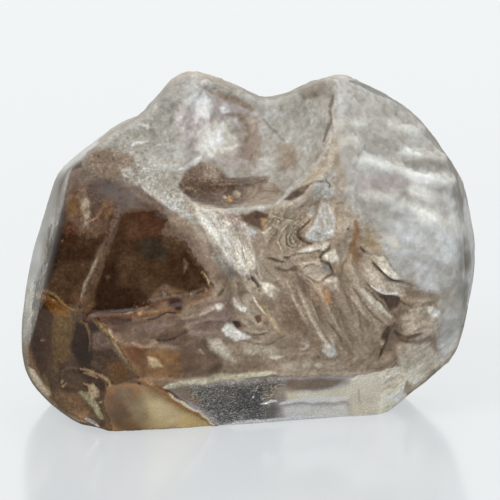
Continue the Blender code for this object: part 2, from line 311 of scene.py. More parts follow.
# %% Old skin group
skin, skin_in, skin_out = node_group(
    "old_skin",
    (
        ("Tone", "NodeSocketColor", (0.5, 0.5, 0.5, 1.0)),
        ("Frost", "NodeSocketFloat", 0.5),
        ("Behind", "NodeSocketFloat", 0.0),
        ("Cracks per metre", "NodeSocketFloat", 210.0),
        ("Clouds per metre", "NodeSocketFloat", 240.0),
        ("Growth lines per metre", "NodeSocketFloat", 2400.0),
    ),
    (("Tone", "NodeSocketColor"), ("Frost", "NodeSocketFloat"), ("Height", "NodeSocketFloat")),
)
SWAY = 0.0022  # metres
ALONG_CRYSTAL = (0.05, 0.35, 1.0)  # squeezes a place, so that noise is drawn out along the crystal
SMOKE_TINT = (0.30, 0.19, 0.11)
STAIN, CRACK = (0.30, 0.14, 0.05, 1.0), (0.62, 0.56, 0.48, 1.0)
behind, own_tone = (skin_in, "Behind"), (skin_in, "Tone")
place = skin.add("ShaderNodeTexCoord", "Object")
sway = skin.vectors("SUBTRACT", skin.noise(place, 420.0, "Color", Detail=2.0), (0.5, 0.5, 0.5))
bent = skin.vectors("ADD", place, skin.vectors("SCALE", sway, SWAY))
edge_gap = skin.cells(bent, (skin_in, "Cracks per metre"), feature="DISTANCE_TO_EDGE")
which = skin.noise(place, 150.0, Detail=2.0)
crack = skin.product(skin.fade(edge_gap, 0.0, 0.03, 1.0, 0.0), skin.fade(which, 0.46, 0.58), behind)
stain = skin.product(skin.fade(edge_gap, 0.0, 0.16, 1.0, 0.0), skin.fade(which, 0.56, 0.66), behind)
clouds = skin.noise(bent, (skin_in, "Clouds per metre"), Detail=4.0, Roughness=0.62)
smoke = skin.product(skin.fade(clouds, 0.44, 0.68), behind)
drawn_out = skin.vectors("MULTIPLY", bent, ALONG_CRYSTAL)
growth = skin.noise(drawn_out, (skin_in, "Growth lines per metre"), Detail=2.0)
grooves = skin.product(skin.maths("SUBTRACT", growth, 0.5), behind)
pit_depth = skin.fade(skin.cells(bent, 1300.0), 0.06, 0.26, 1.0, 0.0)
pits = skin.product(pit_depth, skin.fade(clouds, 0.50, 0.40), behind)

tone = skin.blend(skin.product(smoke, 0.8), own_tone, skin.vectors("MULTIPLY", own_tone, SMOKE_TINT))
tone = skin.blend(skin.product(stain, 0.5), tone, STAIN)
tone = skin.blend(skin.product(crack, 0.4), tone, CRACK)
tone = skin.vectors("SCALE", tone, skin.maths("EXPONENT", skin.product(grooves, 1.3)))
tone = skin.vectors("SCALE", tone, skin.maths("SUBTRACT", 1.0, skin.product(pits, 0.55)))
sunk = skin.maths("ADD", skin.product(pits, 0.8), skin.product(crack, 0.4))
skin.feed(skin_out, {
    "Tone": tone,
    "Frost": skin.maths("SUBTRACT", (skin_in, "Frost"), skin.product(smoke, 0.9)),
    "Height": skin.maths("SUBTRACT", skin.product(grooves, 0.7), sunk),
})
print("old skin:", len(skin.tree.nodes), "nodes")

# %% The two materials
OLD_SKIN_DEPTH = 6e-5  # metres
BUMP_STRENGTH = 0.6
ZIRCON_IOR = 1.93
SMOKE_COLOUR, SMOKE_DENSITY = (0.80, 0.70, 0.60, 1.0), 170.0


def crystal(name, transmission, bump_height, **grain_inputs):
    """A finish of the crystal; the bump height is in metres."""
    material = bpy.data.materials.new(name)
    material.use_nodes = True
    parts = Nodes(material.node_tree)
    shader, output = parts.tree.nodes["Principled BSDF"], parts.tree.nodes["Material Output"]
    point_tone = parts.add("ShaderNodeAttribute", "Color", attribute_name="tone")
    point_frost, point_behind, point_grit = (
        parts.add("ShaderNodeAttribute", "Fac", attribute_name=title)
        for title in ("frost", "behind", "grit")
    )
    old_skin, _ = parts.add("ShaderNodeGroup", "Tone", node_tree=skin.tree)
    fine_grain, _ = parts.add("ShaderNodeGroup", "Tone", node_tree=grain.tree)
    parts.feed(old_skin, {"Tone": point_tone, "Frost": point_frost, "Behind": point_behind})
    parts.feed(fine_grain, {
        "Tone": (old_skin, "Tone"), "Frost": (old_skin, "Frost"), "Grit": point_grit, **grain_inputs,
    })
    normal = None
    for group, depth in ((old_skin, OLD_SKIN_DEPTH), (fine_grain, bump_height)):
        normal = parts.add("ShaderNodeBump", "Normal", {
            "Height": (group, "Height"), "Distance": depth, "Strength": BUMP_STRENGTH, "Normal": normal,
        })
    parts.feed(shader, {
        "IOR": ZIRCON_IOR, "Transmission Weight": transmission, "Normal": normal,
        "Base Color": (fine_grain, "Tone"), "Roughness": (fine_grain, "Roughness"),
    })
    smoke_inside = {"Color": SMOKE_COLOUR, "Density": SMOKE_DENSITY}
    parts.feed(output, {"Volume": parts.add("ShaderNodeVolumeAbsorption", "Volume", smoke_inside)})
    return material


clear_crystal = crystal(
    "clear_crystal", 0.70, 1e-5, Contrast=0.45, Dust=0.9, Smoothest=0.06, Roughest=0.30)
frosted_crystal = crystal(
    "frosted_crystal", 0.40, 3e-5, Contrast=0.30, Dust=0.25, Smoothest=0.25, Roughest=0.55)
print("finishes:", clear_crystal.name, frosted_crystal.name)

# %% [markdown]
# ## A finer skin
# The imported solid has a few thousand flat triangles. To carry fine relief and colour, the stone needs
# points a few hundredths of a millimetre apart. A voxel remesh makes even squares, the squares of the
# broken front are cut three by three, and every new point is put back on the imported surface. A short
# smoothing then rounds the edges a little.

# %% Helpers for meshes
def new_object(name, mesh):
    """An object in the scene."""
    made = bpy.data.objects.new(name, mesh)
    bpy.context.scene.collection.objects.link(made)
    return made


def read_layer(layer, title, width):
    """The values of a mesh's layer as an array, a row for each point."""
    values = np.empty(len(layer) * width, np.float32)
    layer.foreach_get(title, values)
    return values.reshape(-1, width).astype(float)


def read_points(mesh):
    """A mesh's points as an array."""
    return read_layer(mesh.vertices, "co", 3)


def write_points(mesh, points):
    """Moves a mesh's points."""
    mesh.vertices.foreach_set("co", np.asarray(points, np.float32).ravel())
    mesh.update()


def bake_modifiers(source):
    """The object's mesh with its modifiers applied, as a new plain mesh. The object is removed."""
    bpy.context.view_layer.update()
    evaluated = source.evaluated_get(bpy.context.evaluated_depsgraph_get())
    mesh = bpy.data.meshes.new_from_object(evaluated)
    bpy.data.objects.remove(source)
    return mesh


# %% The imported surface, joined up and in millimetres
solid = bmesh.new()
solid.from_mesh(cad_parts["zircon"].data)
bmesh.ops.remove_doubles(solid, verts=solid.verts, dist=1e-7)
bmesh.ops.scale(solid, vec=(1000.0, 1000.0, 1000.0), verts=solid.verts)
bmesh.ops.recalc_face_normals(solid, faces=solid.faces)
packed_surface = BVHTree.FromBMesh(solid)
coarse = new_object("coarse", bpy.data.meshes.new("coarse"))
solid.to_mesh(coarse.data)
solid.free()

# %% Even squares, cut finer on the front
SQUARE = 0.232  # millimetres
FRONT_CUTS = 2
FRONT_LIMIT = 0.22  # how much of a square's normal has to look out of the face

remesh = coarse.modifiers.new("even", "REMESH")
remesh.mode, remesh.voxel_size = "VOXEL", SQUARE
squares = bmesh.new()
squares.from_mesh(bake_modifiers(coarse))
face_out = Vector(FACE_AXES[2])
front_faces = [face for face in squares.faces if face.normal.dot(face_out) > FRONT_LIMIT]
front_edges = list({edge for face in front_faces for edge in face.edges})
bmesh.ops.subdivide_edges(squares, edges=front_edges, cuts=FRONT_CUTS, use_grid_fill=True)
bmesh.ops.triangulate(squares, faces=squares.faces)
for vertex in squares.verts:
    vertex.co = packed_surface.find_nearest(vertex.co)[0]
stone_mesh = bpy.data.meshes.new("zircon_stone")
squares.to_mesh(stone_mesh)
squares.free()
print("skin:", len(stone_mesh.vertices), "points,", len(stone_mesh.polygons), "triangles")


# %% Smoothing
def smoothed(mesh, rounds):
    """The mesh after some rounds of smoothing."""
    piece = new_object("smoothing", mesh)
    smooth = piece.modifiers.new("smooth", "SMOOTH")
    smooth.factor, smooth.iterations = 0.5, rounds
    return bake_modifiers(piece)


EVEN_ROUNDS = 5
stone_mesh = smoothed(stone_mesh, EVEN_ROUNDS)

# %% [markdown]
# ## A fuller outline
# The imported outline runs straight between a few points, and the stone is a little fuller there. So the
# finer skin is eased outwards round some places of the outline, and inwards at one corner, by a fifth of
# a millimetre or so at most.

# %% A fuller outline
FULLER = (  # a place on the outline, how far round it the skin moves, and the move to the right and up
    (at(-194, -11), 3.0, (-0.20, 0.0)),
    (at(-193, -110), 1.5, (-0.09, 0.0)),
    (at(-87, 133), 1.6, (-0.07, 0.08)),
    (at(49, 145), 0.9, (0.0, 0.16)),
    (at(201, 0), 1.8, (0.19, 0.0)),
    (at(104, -147), 1.0, (0.10, -0.10)),
    (at(-136, -160), 0.55, (0.05, 0.20)),
)
even_points = read_points(stone_mesh)
even_places = ((even_points - FACE_MIDDLE) @ FACE_AXES.T)[:, :2]
fuller = np.zeros(even_places.shape)
for place, reach, move in FULLER:
    gap = np.linalg.norm(even_places - place, axis=1)
    fuller += np.exp(-((gap / reach) ** 2))[:, None] * move
write_points(stone_mesh, even_points + fuller @ FACE_AXES[:2])
print("outline eased by up to", round(float(np.linalg.norm(fuller, axis=1).max()), 2), "mm")

# %% [markdown]
# ## The ribs of the lobe
# A fracture that slows down and starts again leaves low ribs across its path, as a shell has. They follow
# a rule: each rib is a rounded crest along a line. So Geometry Nodes make them. The node tree measures
# every point's distance to the nearest rib line, lifts the skin there along its normal, and leaves the
# lift as an attribute, which the colours use later. The lines lie flat in the face frame, so the tree
# flattens each point first.

# %% The rib tree
FACING_SPAN = 0.3  # the ribs fade in while the normal turns this far towards the viewer
UNEVEN_SCALE, UNEVEN_SPAN = 0.9, 0.45
rib_tree = bpy.data.node_groups.new("fracture_ribs", "GeometryNodeTree")
for title, kind in (
    ("Geometry", "NodeSocketGeometry"),
    ("Rib lines", "NodeSocketObject"),
    ("Half width", "NodeSocketFloat"),
    ("Height", "NodeSocketFloat"),
    ("Finish", "NodeSocketMaterial"),
):
    rib_tree.interface.new_socket(name=title, in_out="INPUT", socket_type=kind)
rib_tree.interface.new_socket(name="Geometry", in_out="OUTPUT", socket_type="NodeSocketGeometry")
rib_in, rib_out = rib_tree.nodes.new("NodeGroupInput"), rib_tree.nodes.new("NodeGroupOutput")

rib = Nodes(rib_tree)
where = rib.add("GeometryNodeInputPosition", "Position")
normal = rib.add("GeometryNodeInputNormal", "Normal")
from_middle = rib.vectors("SUBTRACT", where, tuple(FACE_MIDDLE))
flattened = rib.add("ShaderNodeCombineXYZ", "Vector", {
    "X": rib.vectors("DOT_PRODUCT", from_middle, tuple(FACE_AXES[0])),
    "Y": rib.vectors("DOT_PRODUCT", from_middle, tuple(FACE_AXES[1])),
})
lines = rib.add("GeometryNodeObjectInfo", "Geometry", {"Object": (rib_in, "Rib lines")})
rib_gap = rib.add(
    "GeometryNodeProximity", "Distance", {0: lines, "Sample Position": flattened}, target_element="EDGES")
crest = rib.fade(rib_gap, 0.0, (rib_in, "Half width"), 1.0, 0.0)
on_face = rib.fade(rib.vectors("DOT_PRODUCT", normal, tuple(FACE_AXES[2])), 0.0, FACING_SPAN)
uneven = rib.fade(rib.noise(where, UNEVEN_SCALE), 0.0, UNEVEN_SPAN)
rib_amount = rib.product(crest, on_face, uneven)
kept = rib.add("GeometryNodeStoreNamedAttribute", "Geometry", {
    "Geometry": (rib_in, "Geometry"), "Name": "rib", "Value": rib_amount,
}, data_type="FLOAT", domain="POINT")
lift = rib.vectors("SCALE", normal, rib.product(rib_amount, (rib_in, "Height")))
moved = rib.add("GeometryNodeSetPosition", "Geometry", {"Geometry": kept, "Offset": lift})
realized = rib.add("GeometryNodeRealizeInstances", "Geometry", {"Geometry": moved})
finished = rib.add(
    "GeometryNodeSetMaterial", "Geometry", {"Geometry": realized, "Material": (rib_in, "Finish")})
rib.feed(rib_out, {"Geometry": finished})

# %% The rib lines, and the ribs
RIB_LINES = (
    at(96, 80, 106, 77, 118, 75, 131, 72, 141, 68, 154, 64, 168, 61, 179, 62),
    at(137, 42, 147, 37, 157, 32, 170, 27, 180, 25, 190, 19),
    at(145, 51, 156, 48, 164, 45),
    at(126, 111, 136, 106, 145, 105, 153, 105),
    at(138, 87, 149, 84, 161, 83, 175, 83),
    at(80, 110, 90, 112, 99, 111),
    at(84, 95, 90, 96, 95, 95),
    at(101, 48, 117, 46, 131, 49),
)
rib_points, rib_edges = [], []
for line in RIB_LINES:
    rib_edges += [(len(rib_points) + step, len(rib_points) + step + 1) for step in range(len(line) - 1)]
    rib_points += [(u, v, 0.0) for u, v in line]
rib_mesh = bpy.data.meshes.new("rib_lines")
rib_mesh.from_pydata(rib_points, rib_edges, [])
rib_lines = new_object("rib_lines", rib_mesh)

growing = new_object("growing", stone_mesh)
rib_modifier = growing.modifiers.new(rib_tree.name, "NODES")
rib_modifier.node_group = rib_tree
rib_values = {"Rib lines": rib_lines, "Half width": 0.40, "Height": 0.030, "Finish": frosted_crystal}
for socket in rib_tree.interface.items_tree:
    if socket.name in rib_values:
        rib_modifier[socket.identifier] = rib_values[socket.name]
stone_mesh = bake_modifiers(growing)
bpy.data.objects.remove(rib_lines)
ribs = read_layer(stone_mesh.attributes["rib"].data, "value", 1)[:, 0]
print("ribs:", len(RIB_LINES), "lines lift", int((ribs > 0.2).sum()), "points")

# %% [markdown]
# ## Places on the stone
# Each point of the skin gets its place in the face frame, and its seen place: where it shows in a front
# view. Marks are laid by seen place, so a seam that crosses a step still reads as one line.

# %% Where every point lies
skin_points = read_points(stone_mesh)
skin_normals = read_layer(stone_mesh.vertex_normals, "vector", 3)
face_points = (skin_points - FACE_MIDDLE) @ FACE_AXES.T
face_normals = skin_normals @ FACE_AXES.T
nearness = (camera_reach - SHARP_DEPTH) / (camera_reach - face_points[:, 2])
seen_u = LOOK_AT[0] + (face_points[:, 0] - LOOK_AT[0]) * nearness
seen_v = LOOK_AT[1] + (face_points[:, 1] - LOOK_AT[1]) * nearness


def ramp(values, low, high):
    """0 below low, 1 above high, and smooth between."""
    t = np.clip((values - low) / (high - low), 0.0, 1.0)
    return t * t * (3.0 - 2.0 * t)


on_front = ramp(face_normals[:, 2], -0.03, 0.09)
print("points on the front:", int((on_front > 0.5).sum()))

# %% [markdown]
# ## Chance without patterns
# Natural ground is uneven at every size at once. Value noise gives a smooth random height to every place.
# Summing it at several sizes, each half as large and half as strong as the last, makes fractal noise. The
# seeds are fixed, so the stone comes out the same each time.


# %% Noise
GRID_SHIFT, SEED_SHIFT = 100.0, 7.31  # grains by which the grid is moved, and is moved again for each seed
CELL_FACTORS, SEED_FACTOR = np.array((73856093, 19349663, 83492791)), 2654435761
FIRST_FACTOR, SECOND_FACTOR, LOW_BITS, HALF_RANGE = 1274126177, 668265263, 0xFFFFFFFF, 0x7FFFFFFF
FRACTAL_GAIN = 1.6  # brings the sum of several sizes back to about -1 to 1


def noise(points, grain, seed):
    """Smooth random values from -1 to 1, whose bumps are about one grain wide."""
    grid = points / grain + GRID_SHIFT + seed * SEED_SHIFT
    cell = np.floor(grid).astype(np.int64)
    part = grid - cell
    part = part * part * (3.0 - 2.0 * part)
    total = np.zeros(len(points))
    for corner in range(8):
        step = np.array((corner & 1, corner >> 1 & 1, corner >> 2 & 1))
        key = (cell + step) @ CELL_FACTORS + seed * SEED_FACTOR
        key = (key ^ (key >> 13)) * FIRST_FACTOR & LOW_BITS
        key = (key ^ (key >> 16)) * SECOND_FACTOR & LOW_BITS
        weight = np.prod(np.where(step, part, 1.0 - part), axis=1)
        total += weight * (key / HALF_RANGE - 1.0)
    return total


def fractal(points, grain, seed, sizes=4, falloff=0.5):
    """Noise summed at several sizes."""
    total, strength, whole = np.zeros(len(points)), 1.0, 0.0
    for size in range(sizes):
        total += strength * noise(points, grain / 2**size, seed + size)
        whole += strength
        strength *= falloff
    return total / whole * FRACTAL_GAIN


WANDER, WANDER_GRAIN = 0.07, 0.7  # how far the edges of marks wander, and over what length, in millimetres
wander_u = WANDER * fractal(face_points, WANDER_GRAIN, 3, sizes=3)
wander_v = WANDER * fractal(face_points, WANDER_GRAIN, 9, sizes=3)

# %% [markdown]
# ## Laying marks
# Three kinds of mark describe the whole face: a patch fills a polygon, a stroke follows a path, and a
# spot is round. Each returns a mask, from 0 off the mark to 1 on it, with a soft edge. Colours are given
# as they look, from 0 to 255, and are laid one over the other like thin glazes. Places are given in steps
# of a twentieth of a millimetre, to the right and up from the face's middle.

# %% Marks
def srgb(red, green, blue):
    """A colour as it looks, from 0 to 255, as linear values."""
    values = np.array((red, green, blue)) / 255
    return np.where(values > 0.04045, ((values + 0.055) / 1.055) ** 2.4, values / 12.92)


def path_gap(path, closed=False):
    """Each point's distance to a path, how far along it that is, and whether it lies inside a closed one."""
    u, v = seen_u + wander_u, seen_v + wander_v
    nearest, along, inside = np.full(len(u), np.inf), np.zeros(len(u)), np.zeros(len(u), bool)
    ends = [*path[1:], path[0]] if closed else path[1:]
    for count, ((u0, v0), (u1, v1)) in enumerate(zip(path, ends)):
        du, dv = u1 - u0, v1 - v0
        share = np.clip(((u - u0) * du + (v - v0) * dv) / (du * du + dv * dv), 0.0, 1.0)
        gap = np.hypot(u - u0 - share * du, v - v0 - share * dv)
        along = np.where(gap < nearest, (count + share) / len(ends), along)
        nearest = np.minimum(nearest, gap)
        crosses = (v0 > v) != (v1 > v)
        inside ^= crosses & (u < u0 + (v - v0) * du / (dv if dv else 1e-9))
    return nearest, along, inside


def patch(corners, feather=0.15):
    """1 inside a polygon, fading over the feather's width to each side of its edge."""
    nearest, _, inside = path_gap(corners, closed=True)
    return ramp(np.where(inside, nearest, -nearest), -feather, feather) * on_front


TAPER = 0.4  # a stroke's width at its tips, as a share of its full width


def stroke(path, half_width=0.08):
    """1 along a path that tapers to both ends, with soft sides."""
    nearest, along, _ = path_gap(path)
    width = half_width * (TAPER + (1 - TAPER) * np.sin(np.pi * along) ** 0.5)
    return ramp(-nearest / width, -1.5, -0.5) * on_front


def spot(middle, radius):
    """1 on a round spot with a soft edge."""
    nearest, _, _ = path_gap((middle[0], middle[0] + (0.001, 0.0)))
    return ramp(-nearest / radius, -1.5, -0.5) * on_front


tones = np.zeros((len(face_points), 3))
height = np.zeros(len(face_points))


def lay(mask, colour, strength=1.0, rise=0.0):
    """Lays a colour over the stone where the mask is high, and raises or sinks the skin there."""
    share = np.clip(mask * strength, 0.0, 1.0)[:, None]
    tones[:] = tones * (1.0 - share) + srgb(*colour) * share
    height[:] += mask * rise


break_up = np.clip(0.95 + 0.20 * fractal(face_points, 0.28, 15, sizes=3, falloff=0.8), 0.55, 1.0)


def lay_all(marks):
    """Lays marks, each a little broken up: (kind, places, size, colour, strength, rise or nothing)."""
    for kind, places, size, colour, strength, *rise in marks:
        lay(kind(places, size) * break_up, colour, strength, *rise)


# %% [markdown]
# ## Named colours
# Each mark takes one of these colours. They are round values, in four families, and are
# given as they look: red, green and blue from 0 to 255.

# %% Smoke browns, from the darkest to the palest
SOOT = (20, 12, 8)
PITCH = (45, 28, 18)
DARK_SMOKE = (55, 36, 26)
DEEP_BROWN = (70, 48, 34)
UMBER = (85, 62, 46)
SMOKE = (100, 78, 60)
BROWN = (115, 92, 72)
TAUPE = (128, 108, 88)
CLAY = (142, 124, 104)
FAWN = (156, 140, 120)
SAND = (168, 154, 135)
BEIGE = (180, 168, 150)
BONE = (192, 182, 165)
SHELL = (204, 196, 182)
IVORY = (220, 212, 194)
CREAM = (238, 230, 210)
WHITE = (255, 255, 255)

# %% Iron stain, from rust to butter
BLACK_RUST = (48, 20, 6)
DARK_RUST = (72, 40, 18)
RED_RUST = (96, 58, 30)
RUST = (110, 76, 44)
ROSEWOOD = (98, 66, 52)
COPPER = (125, 90, 50)
BRONZE = (130, 104, 68)
ORANGE = (140, 98, 52)
OCHRE = (160, 120, 62)
TAN = (150, 118, 88)
BISCUIT = (162, 130, 106)
AMBER = (170, 125, 78)
OLD_GOLD = (175, 142, 98)
GOLD = (184, 150, 100)
CHAMOIS = (190, 168, 130)
PALE_GOLD = (202, 174, 136)
STRAW = (216, 188, 155)
WHEAT = (222, 204, 160)
HONEY = (232, 206, 150)
VANILLA = (236, 216, 184)
BUTTER = (250, 244, 220)
LEMON = (255, 255, 230)

# %% Greys of the broken and frosted ground
CHARCOAL = (68, 60, 52)
SLATE = (80, 80, 80)
STEEL = (102, 102, 100)
DIM_GREY = (110, 98, 84)
IRON_GREY = (122, 120, 114)
ASH = (140, 138, 130)
GREY = (155, 152, 144)
PALE_GREY = (168, 166, 160)
SILVER = (184, 184, 180)
MIST = (198, 196, 190)
FOG = (206, 208, 208)
FROST_WHITE = (220, 222, 216)
SNOW = (238, 238, 232)
ICE = (240, 248, 250)
BLUE_WHITE = (228, 232, 236)

# %% Mauves, pinks and olives
DARK_MAUVE = (85, 68, 60)
MAUVE = (120, 98, 88)
DUSK = (145, 122, 114)
LILAC = (180, 172, 172)
OLIVE = (168, 150, 118)
PALE_OLIVE = (200, 196, 168)

# %% [markdown]
# ## The body colours
# Smoky zircon is brown where the light's way through it is long and clear, and grey-beige where wear or
# fracture has frosted the skin and the light turns back. The left third is clear and brown, and the rest
# pales to the right. The colour runs through the crystal in soft clouds, so the sides and back carry it
# too.

# %% Body colours
CLEAR_BODY, FROSTED_BODY, WORN_BODY = (104, 80, 60), (172, 160, 142), (178, 168, 152)
clouds = fractal(face_points, 3.5, 21)
rightness = ramp(face_points[:, 0] + 0.9 * face_points[:, 1] + 2.2 * clouds, -7.5, -0.5)[:, None]
tones[:] = srgb(*CLEAR_BODY) * (1 - rightness) + srgb(*FROSTED_BODY) * rightness
pale_wear = ramp(fractal(face_points, 1.1, 31), 0.1, 0.9)[:, None] * 0.35
tones[:] = tones * (1 - pale_wear) + srgb(*WORN_BODY) * pale_wear

lay_all((
    (patch, at(-131, 97, -113, 113, -78, 140, -57, 156, 11, 137, 46, 44, -7, -44, -78, 35, -135, 64,
        -145, 75), 0.3, GREY, 1.0),
    (patch, at(-73, 124, -56, 150, 11, 136, 77, 154, 75, 106, 46, 57, 2, 37, -51, 44,
        -78, 66), 0.2, GREY, 1.0),
    (patch, at(77, 154, 134, 133, 174, 93, 196, 27, 198, -35, 152, -44, 108, 9, 77, 18, 55, 53,
        75, 106), 0.25, PALE_GREY, 1.0),
    (patch, at(-42, 18, 11, 35, 77, 44, 134, -18, 179, -44, 174, -97, 117, -143, -73, -118, -113, -80,
        -131, -60, -38, -37), 0.3, CLAY, 1.0),
))


# %% [markdown]
# ## How the break ran
# A fracture leaves fine lines, called hackle, along the way it travelled. Each place on the broken front
# gets a direction, blended from a few guides. Noise that is smeared along that direction then draws the
# hackle. This reads as one flowing break, where noise alone would read as plaster.

# %% The way the lines run
RUNS = (  # a place, the direction of the lines there in degrees, and how far it holds in millimetres
    (at(-32, 25), -52, 1.0),
    (at(-7, -7), -50, 0.9),
    (at(-51, 22), -48, 0.8),
    (at(-47, -18), -62, 0.8),
    (at(-38, 38), -18, 0.5),
    (at(2, 35), -4, 0.6),
    (at(37, 48), 42, 0.6),
    (at(65, 75), 52, 0.8),
    (at(-29, 119), 60, 1.0),
    (at(-3, 75), -4, 0.9),
    (at(33, 97), 62, 1.1),
    (at(6, 133), -14, 0.8),
    (at(55, 137), 24, 0.8),
    (at(-38, 62), 10, 0.7),
    (at(24, 13), 70, 0.7),
    (at(46, -11), 4, 0.6),
    (at(86, 18), -84, 0.8),
    (at(90, 106), 74, 0.7),
    (at(134, 119), -38, 1.0),
    (at(139, 88), -6, 1.2),
    (at(152, 64), -16, 1.2),
    (at(161, 27), -19, 1.2),
    (at(152, -13), -24, 1.0),
    (at(46, -44), -64, 0.9),
    (at(68, -62), -62, 0.9),
    (at(95, -53), -60, 0.8),
    (at(121, -19), -34, 0.7),
    (at(126, -42), -32, 0.6),
    (at(117, -75), -72, 0.8),
    (at(152, -66), 18, 0.7),
    (at(183, -62), 78, 0.7),
    (at(148, -102), 48, 0.9),
    (at(112, -119), 28, 0.8),
    (at(-16, -84), -10, 1.0),
    (at(28, -88), -12, 1.0),
    (at(-42, -60), 17, 0.8),
    (at(-87, -53), 10, 0.9),
    (at(6, -53), -50, 0.7),
    (at(-104, 102), 34, 1.0),
    (at(-122, 75), 20, 0.8),
    (at(-78, 44), -42, 0.9),
    (at(-65, 133), 40, 1.0),
    (at(-69, 97), 30, 0.8),
)
pull = np.zeros((len(face_points), 2))
for place, degrees, reach in RUNS:
    (u, v), = place
    hold = np.exp(-((seen_u - u) ** 2 + (seen_v - v) ** 2) / (2 * reach**2)) + 1e-9
    turn = 2 * math.radians(degrees)
    pull += hold[:, None] * (math.cos(turn), math.sin(turn))
run_angle = np.arctan2(pull[:, 1], pull[:, 0]) / 2 + 0.22 * fractal(face_points, 1.4, 61)
run_way = np.c_[np.cos(run_angle), np.sin(run_angle), np.zeros(len(run_angle))]
run_way -= np.sum(run_way * face_normals, axis=1)[:, None] * face_normals
run_way /= np.linalg.norm(run_way, axis=1)[:, None] + 1e-6


# %% Hackle
def evened(values):
    """The values moved and scaled to lie round 0, two thirds of them between -1 and 1."""
    return (values - values.mean()) / values.std()


def hackle(grain, length, seed, steps=11):
    """Noise smeared along the break's direction over a length."""
    shares = np.linspace(-0.5, 0.5, steps)
    return evened(sum(noise(face_points + run_way * length * share, grain, seed) for share in shares))


fine_hackle = hackle(0.15, 0.9, 71)
broad_hackle = hackle(0.34, 2.0, 73)
soft_hackle = hackle(0.75, 3.2, 75, steps=7)
crumble = evened(fractal(face_points, 0.30, 81, sizes=3, falloff=0.75))
mottle = evened(fractal(face_points, 1.1, 87, sizes=3))


def texture(fine=0.0, broad=0.0, soft=0.0, crumbs=0.0, clouded=0.0):
    """The noise fields added up: three kinds of hackle, the crumble and the mottling, each by its amount."""
    hackles = fine * fine_hackle + broad * broad_hackle + soft * soft_hackle
    return hackles + crumbs * crumble + clouded * mottle


print("hackle drawn on", len(fine_hackle), "points")

# %% Where each kind of ground lies
cheek_ground = patch(at(-164, 44, -160, 50, -147, 58, -131, 61, -116, 53, -111, 39, -103, 35, -85, 34,
    -72, 27, -74, 14, -57, 7, -41, -14, -33, -34, -48, -39, -74, -37, -90, -46, -103, -54, -134, -57,
    -166, -50, -193, -34, -182, -11, -173, 16), 0.10)
lower_ground = patch(at(-202, -30, -166, -48, -134, -57, -95, -113, -73, -122, -28, -157, -131, -168,
    -210, -133, -210, -44), 0.12)
bevel_ground = patch(at(-72, -122, 19, -115, 117, -110, 117, -150, 46, -154, -28, -159), 0.06)
lobe_ground = patch(at(78, 156, 134, 136, 177, 92, 205, 18, 205, -44, 198, -76, 177, -94, 170, -71,
    168, -42, 139, -23, 113, 21, 87, 48, 76, 88), 0.25)
bowl_ground = patch(at(-55, 141, 12, 133, 72, 147, 74, 106, 46, 62, 2, 41, -51, 48, -62, 88), 0.25)
rim_ground = patch(at(-131, 97, -145, 83, -157, 69, -166, 53, -175, 27, -184, -11, -193, -44, -202, -80,
    -219, -80, -202, -9, -175, 71, -134, 106), 0.10)
dark_corner = patch(at(-189, -41, -166, -48, -134, -57, -95, -113, -124, -120, -127, -133, -120, -161,
    -166, -141, -180, -118, -193, -88), 0.08)
foot_ground = patch(at(-126, -122, -113, -118, -87, -120, -27, -156, -113, -163, -127, -157), 0.06)
lens_ground = patch(at(-62, 57, -55, 69, -44, 78, -27, 74, -18, 65, 2, 64, 19, 65, 18, 58, 0, 53, -4, 42,
    -19, 38, -39, 41, -55, 48), 0.10)
polished = np.clip(cheek_ground + lower_ground + bevel_ground, 0.0, 1.0)
see_through = np.clip(dark_corner + patch(at(-171, 19, -149, 11, -127, 14, -115, 34, -103, 35, -85, 34,
    -72, 27, -74, 14, -57, 7, -41, -14, -33, -34, -48, -39, -74, -37, -90, -46, -103, -54, -134, -57,
    -166, -50, -187, -34, -180, -11), 0.42), 0.0, 1.0)
see_through += 1.6 * crumble * see_through * (1.0 - see_through)  # ragged along the border only
clean_marks = 0.85 * np.clip(foot_ground + bevel_ground, 0.0, 1.0)  # marks break up less on polished faces
break_up = 1.0 - (1.0 - break_up) * (1.0 - clean_marks)
broken = np.clip(1.0 - polished - lobe_ground * 0.75 - bowl_ground * 0.45 - rim_ground, 0.0, 1.0) * on_front

# %% [markdown]
# ## Relief
# The skin is raised and sunk by the same fields that colour it, so light and paint agree: hackle ridges
# stand up, crumbled ground is rough at every size, and the polished faces stay flat.

# %% Relief from the break
hackled = np.clip(sum(patch(corners, 0.3) for corners in (
    at(-46, 39, -16, 34, 2, 9, 12, -27, -16, -27, -38, 0),
    at(12, 22, 46, 44, 77, 44, 80, -11, 46, -27, 15, -11),
    at(19, -28, 77, -23, 110, -44, 101, -88, 68, -94, 33, -71),
    at(86, -4, 112, -2, 145, -30, 170, -48, 134, -84, 101, -62),
    at(-62, -60, -7, -42, 28, -71, 2, -84, -51, -75),
    at(-131, -55, -34, -35, -32, -44, -87, -64),
)), 0.0, 1.0) * broken
loose = np.clip(broken - 0.6 * hackled, 0.0, 1.0)
height += hackled * texture(fine=0.014, broad=0.026, soft=0.020)
height += loose * texture(fine=0.004, broad=0.010, soft=0.012, crumbs=0.012, clouded=0.010)
height += bowl_ground * (1 - polished) * texture(fine=0.002, soft=0.006, crumbs=0.004)
height += lobe_ground * texture(fine=0.002, broad=0.005, soft=0.014, crumbs=0.004)
height += polished * texture(crumbs=0.0005)
height += (1.0 - on_front) * texture(clouded=0.012)
worn_top = ramp(face_normals[:, 1], 0.45, 0.8) * ramp(seen_v, 2.0, 4.0)
height += worn_top * (0.045 * fractal(face_points, 0.9, 91) + 0.012 * crumble)


# %% Shades from the break
def shade(amount, tint=(1.0, 1.0, 1.0)):
    """Lightens the tones where the amount is high, and darkens them where it is low."""
    tones[:] *= np.exp(amount[:, None] * np.array(tint))


BROWN_SHADE = (0.85, 1.0, 1.2)  # darker places are browner
